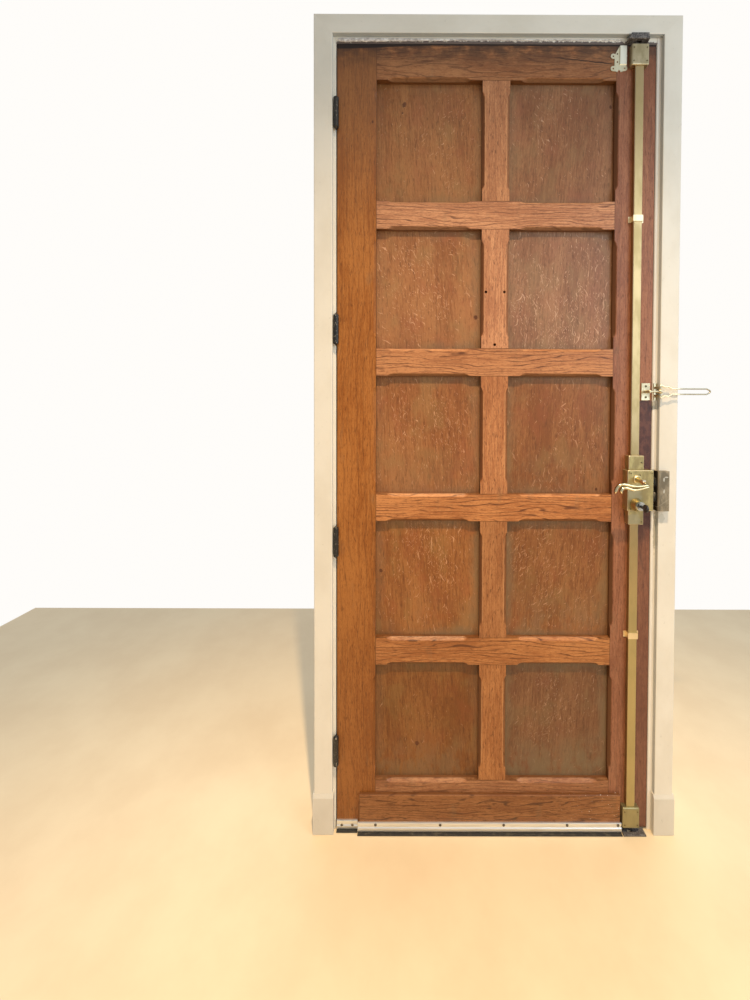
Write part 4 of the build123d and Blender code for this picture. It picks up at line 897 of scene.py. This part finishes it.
def ridge_shell(points, half_width, half_depth, rows=72, columns=20):
    """A rounded ridge along a curve in the XZ plane. At s along it and angle a round it the surface is
    path(s) + n(s) w(s) cos(a) + y d(s) sin(a), where w and d fall to nothing at both ends."""
    path = smooth_path(points, rows) / 1000 + np.array(lever_centre)
    tangent = np.gradient(path, axis=0)
    tangent /= np.linalg.norm(tangent, axis=1)[:, None]
    normal = np.stack([-tangent[:, 1], tangent[:, 0]], 1)
    s = np.linspace(-1, 1, rows)
    closing = np.sqrt(np.clip(1 - np.abs(s) ** 14, 0.0004, 1))
    angle = np.linspace(0, 2 * pi, columns, endpoint=False)
    width = (half_width(s) * closing)[:, None] * np.cos(angle)
    depth = (half_depth * closing)[:, None] * np.sin(angle)
    x = path[:, 0, None] + normal[:, 0, None] * width
    z = path[:, 1, None] + normal[:, 1, None] * width
    return np.stack([x, lever_face + depth, z], -1).reshape(-1, 3), columns


def pointed(s):
    """Half the width of a ridge: slim over the hub, full along the lobes, drawn out to a tip."""
    return 0.0030 + 0.0008 * (s + 1) - 0.0032 * np.clip((s - 0.72) / 0.28, 0, 1) ** 1.6


def sliding_neck():
    """The neck's profile of (radius, y) turned round the spindle. At angle a a point lies at radius times
    (cos(a), sin(a)) from the centre, which slides down towards the web as the neck comes forward."""
    angle = np.linspace(0, 2 * pi, neck_sides, endpoint=False)
    radius, y = np.array(neck_profile).T
    forward = np.clip((neck_slides_from - y) / (neck_slides_from - neck_slides_to), 0, 1) ** 1.5
    x = lever_centre[0] + neck_slide[0] * forward[:, None] + radius[:, None] * np.cos(angle)
    z = lever_centre[1] + neck_slide[1] * forward[:, None] + radius[:, None] * np.sin(angle)
    return np.stack([x, y[:, None] + 0 * angle, z], -1).reshape(-1, 3), neck_sides


polished = brass("lever_brass", 0.25, 0.13, (0.90, 0.78, 0.50, 1), (0.55, 0.44, 0.20, 1))
tree = polished.node_tree
depth = axes(tree, own_place(tree))["Y"]
# Painted shade darkens the groove between the two ridges
below_crest = ramp(tree, depth, *groove_front, 0.0, 0.85)
groove = times(tree, below_crest, ramp(tree, depth, *groove_back, 1.0, 0.0))
overlay(polished, groove, groove_shade)
web_line = [np.add(upper, lower) / 2 for upper, lower in zip(upper_ridge, lower_ridge)][:web_points]
lever_parts = [
    ridge_shell(upper_ridge, pointed, ridge_depth), ridge_shell(lower_ridge, pointed, ridge_depth),
    ridge_shell(web_line, lambda s: web_half_width, web_depth), sliding_neck(),
]
lever_faces, count = [], 0
for points, columns in lever_parts:
    lever_faces += [face[::-1] for face in capped(len(points) // columns, columns, count)]
    count += len(points)
lever_points = np.vstack([points for points, columns in lever_parts])
lever = surface("lever_casting", lever_points, lever_faces, polished)
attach(lever, "lever")
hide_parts("lever_handle")


# Key cylinder: a body of satin nickel that passes through the case and the stile, between the two roses.
# A plug turns in it, and the key in the plug has a bow of moulded black plastic.
def cloudy_finish(name, cells, detail, breakup, fade, colours, gloss, relief=(), **plain):
    """A finish that drifts in clouds between two colours and between two roughnesses. The relief is
    (strength, depth) where the clouds can be felt."""
    material, tree, shader = finish(name, **plain)
    cloud = mottle(tree, own_place(tree), cells, detail, breakup)
    colour = lay(tree, ramp(tree, cloud, *fade), *colours)
    roughness = ramp(tree, cloud, 0.3, 0.7, *gloss)
    complete(tree, shader, colour, roughness, cloud if relief else None, *relief)
    return material


nickel = cloudy_finish(
    "satin_nickel", (300.0, 300.0, 300.0), 4.0, 0.6, (0.4, 0.7),
    [(0.80, 0.78, 0.74, 1), (0.55, 0.52, 0.46, 1)], (0.16, 0.34), Metallic=1.0,
)
plastic = cloudy_finish(
    "black_key_grip", (900.0, 900.0, 900.0), 3.0, 0.6, (0.4, 0.8),
    [(0.018, 0.018, 0.02, 1), (0.05, 0.05, 0.055, 1)], (0.35, 0.5), (0.1, 0.0002),
)
dress(nickel, "cylinder_body", "cylinder_plug")
dress(plastic, "key")

# Steel of the lock: zinc-plated rods that slide in the covers, with the latch, the dead bolt and the
# lever's square spindle in the case, all dull with use.
zinc = cloudy_finish(
    "dull_zinc_steel", (180.0, 180.0, 40.0), 5.0, 0.65, (0.35, 0.7),
    [(0.82, 0.79, 0.70, 1), (0.55, 0.50, 0.40, 1)], (0.28, 0.5), Metallic=1.0,
)
dress(zinc, "upper_rod", "lower_rod", "latch_bolt", "dead_bolt", "lever_spindle")

# Hinges: four lift-off butts of steel, screwed into beds in leaf and jamb, with a pin in each frame half.
# They are lacquered black, flecked pale here and there.
lacquer = cloudy_finish(
    "black_lacquer", (220.0, 220.0, 160.0), 5.0, 0.7, (0.585, 0.66),
    [(0.012, 0.011, 0.011, 1), (0.36, 0.32, 0.27, 1)], (0.26, 0.5), (0.15, 0.0003),
)
dress(lacquer, "hinge_frame_halves", "hinge_leaf_halves", "hinge_pins")

# Strike box: dark bronzed sheet, folded and let into the architrave's edge for the latch and the bolt.
# Painted shade makes its mouth black within, a painted highlight pales the front edge of its mouth, it is
# scuffed pale in places, and the latch has scored its face.
strike_left, strike_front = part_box("strike_box")[0][:2]
mouth_edge = (strike_left + 0.0020, strike_left + 0.0035)
mouth_inside = (strike_left + 0.0010, strike_left + 0.0020)
mouth_front = (strike_front + 0.0008, strike_front + 0.0018)
bronze_scuff = (0.72, 0.68, 0.58, 1)
# Scuffs: centre, reach, raggedness and cells to the metre
strike_scuffs = (
    ((0.4655, 0.983), (0.0022, 0.006), 0.7, 300.0), ((0.4715, 1.0225), (0.0045, 0.0018), 0.9, 420.0),
    ((0.4650, 1.0160), (0.0020, 0.0060), 0.9, 420.0),
)
score_slope = -0.7
score_height = 0.626

bronze, tree, shader = finish("dark_bronze_lacquer", Metallic=0.6)
place = own_place(tree)
here = axes(tree, place)
rub = mottle(tree, place, (60.0, 60.0, 22.0), 6.0, 0.7)
colour = lay(tree, ramp(tree, rub, 0.35, 0.75), (0.20, 0.165, 0.112, 1), (0.50, 0.42, 0.30, 1))
# Painted shade: the mouth's side face is laid near-black
inside = ramp(tree, here["X"], *mouth_inside, 0.93, 0.0)
colour = lay(tree, times(tree, inside, ramp(tree, here["Y"], *mouth_front)), colour, lock_gap_shade_black)
# Painted highlight along the mouth's front edge
mouth = ramp(tree, here["X"], *mouth_edge, 0.85, 0.0)
mouth = times(tree, mouth, ramp(tree, here["Y"], *mouth_front, 1.0, 0.0))
colour = lay(tree, mouth, colour, (0.70, 0.65, 0.54, 1))
first, second, third = (patch(tree, place, *scuff) for scuff in strike_scuffs)
scuffed = maths(tree, "MAXIMUM", maths(tree, "MAXIMUM", first, second), third)
colour = lay(tree, times(tree, scuffed, 0.8), colour, bronze_scuff)
score = maths(tree, "ADD", here["Z"], times(tree, here["X"], score_slope))
score = maths(tree, "ABSOLUTE", maths(tree, "SUBTRACT", score, score_height))
colour = lay(tree, ramp(tree, score, 0.0001, 0.0006, 0.6, 0.0), colour, (0.66, 0.62, 0.52, 1))
complete(tree, shader, colour, ramp(tree, rub, 0.3, 0.7, 0.35, 0.55))
dress(bronze, "strike_box")

# Rod keepers: iron sockets fixed to the head and to the floor, which take the ends of the two rods.
# They are crusted with old paint and dirt.
iron = cloudy_finish(
    "grey_keeper_iron", (260.0, 260.0, 260.0), 5.0, 0.7, (0.40, 0.72),
    [(0.060, 0.055, 0.056, 1), (0.30, 0.28, 0.27, 1)], (0.5, 0.8), (0.4, 0.0008), Metallic=0.3,
)
dress(iron, "head_keeper", "floor_keeper")

# Draught strips: extruded aluminium screwed to the weather board and the stile, scratched along its length.
# Each holds a black rubber blade in its groove.
mill = cloudy_finish(
    "mill_aluminium", (14.0, 400.0, 400.0), 4.0, 0.6, (0.35, 0.7),
    [(0.88, 0.93, 0.98, 1), (0.74, 0.76, 0.79, 1)], (0.32, 0.48), Metallic=1.0,
)
rubber = cloudy_finish(
    "black_rubber_blade", (60.0, 120.0, 120.0), 5.0, 0.65, (0.45, 0.75),
    [(0.016, 0.015, 0.014, 1), (0.10, 0.085, 0.06, 1)], (0.6, 0.85),
)
dress(mill, "draught_strips")
dress(rubber, "draught_blades")

# Screws: slotted round heads of brass on the lock and the guard, and of steel on the draught strip.
# Each head is a low dome turned from a short profile; the slot is drawn across it as painted shade in its own
# coordinates.
# Heads are given as x, z, radius, height and turn of the slot in degrees.
screw_sides = 14
screw_profile = [(1.0, 0.0), (0.86, 0.45), (0.52, 0.85), (0.18, 1.0)]
slot_half_width = (0.07, 0.12)
slot_shade = (0.03, 0.024, 0.018, 1)
case_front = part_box("lock_case")[0][1]
case_heads = [
    (0.3725, 1.0335, 0.0022, 0.0007, 20), (0.3980, 1.0290, 0.0020, 0.0006, 70),
    (0.3725, 0.9345, 0.0022, 0.0007, 60), (0.4315, 1.0335, 0.0022, 0.0007, 110),
]
collar_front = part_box("rod_collars")[0][1]
collar_heads = [(0.4070, 1.0620, 0.0028, 0.0008, 40), (0.4090, 0.8960, 0.0022, 0.0008, 80)]
end_box_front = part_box("rod_end_boxes")[0][1]
end_box_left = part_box("rod_end_boxes")[0][0] + 0.006
end_box_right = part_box("rod_end_boxes")[1][0] - 0.006
end_box_heads = [(x, z, 0.0024, 0.0009, turn) for x, z, turn in (
    (end_box_left, 2.206, 10), (end_box_right, 2.206, 50), (end_box_left, 2.170, 80),
    (end_box_right, 2.170, 130), (end_box_left, 0.067, 30), (end_box_right, 0.067, 90),
    (end_box_left, 0.029, 0), (end_box_right, 0.029, 60),
)]
strip_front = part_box("draught_strips")[0][1]
strip_heads = [(x, 0.0245, 0.0040, 0.0010, turn) for x, turn in (
    (-0.429, 15), (-0.399, 70), (-0.333, 40), (-0.149, 95), (0.032, 5), (0.213, 60), (0.358, 120),
)]
guard_plate_front = -0.0030
guard_heads = [(0.4265, 1.2755, 0.0034, 0.0009, 35), (0.4265, 1.2445, 0.0034, 0.0009, 100)]


def screw_metal(name, pale, worn):
    """Metal of a screw head, with painted shade in the slot that runs across it."""
    material, tree, shader = finish(name, Metallic=1.0)
    across = axes(tree, add(tree, "UVMap").outputs[0])["X"]
    from_centre = maths(tree, "ABSOLUTE", maths(tree, "SUBTRACT", across, 0.5))
    slot = ramp(tree, from_centre, *slot_half_width, 1.0, 0.0)
    noise = mottle(tree, own_place(tree), (700.0, 700.0, 700.0), 3.0, 0.6)
    colour = lay(tree, ramp(tree, noise, 0.4, 0.65), pale, worn)
    complete(tree, shader, lay(tree, slot, colour, slot_shade), ramp(tree, noise, 0.3, 0.7, 0.22, 0.42))
    return material


def screws(name, body, slot, material, *seated):
    """Heads that face the room, as one mesh, from pairs of the y that they seat on and their list. At
    angle a on the profile's (reach, rise) a point lies at x + radius reach cos(a), y - height rise,
    z + radius reach sin(a). Its place in the head's own coordinates is reach / 2 from their middle, at
    a less the slot's turn."""
    heads = [(seat, *head) for seat, row in seated for head in row]
    y, x, z, radius, height, turn = np.array(heads).T[:, :, None, None]
    reach, rise = np.array(screw_profile).T[:, :, None]
    angle = np.linspace(0, 2 * pi, screw_sides, endpoint=False)
    outward = radius * reach
    points = [x + outward * np.cos(angle), y - height * rise + 0 * angle, z + outward * np.sin(angle)]
    slant = angle - np.radians(turn)
    own = np.stack([0.5 + 0.5 * reach * np.cos(slant), 0.5 + 0.5 * reach * np.sin(slant)], -1)
    rows = len(screw_profile)
    starts = range(0, len(heads) * rows * screw_sides, rows * screw_sides)
    faces = [face for start in starts for face in capped(rows, screw_sides, start)]
    piece = surface(name, np.stack(points, -1).reshape(-1, 3), faces, material)
    corners = np.empty(len(piece.data.loops), np.int32)
    piece.data.loops.foreach_get("vertex_index", corners)
    piece.data.uv_layers.new(name="head").data.foreach_set("uv", own.reshape(-1, 2)[corners].ravel())
    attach(piece, body)


brass_screw = screw_metal("brass_screw_heads", (0.34, 0.28, 0.15, 1), (0.17, 0.13, 0.07, 1))
steel_screw = screw_metal("steel_screw_heads", (0.30, 0.28, 0.25, 1), (0.14, 0.125, 0.11, 1))
screws(
    "lock_screws", "leaf", "case_brass", brass_screw,
    (case_front, case_heads), (collar_front, collar_heads), (end_box_front, end_box_heads),
)
screws("strip_screws", "leaf", "strip_aluminium", steel_screw, (strip_front, strip_heads))
screws("guard_screws", "leaf", "guard_brass", brass_screw, (guard_plate_front, guard_heads))
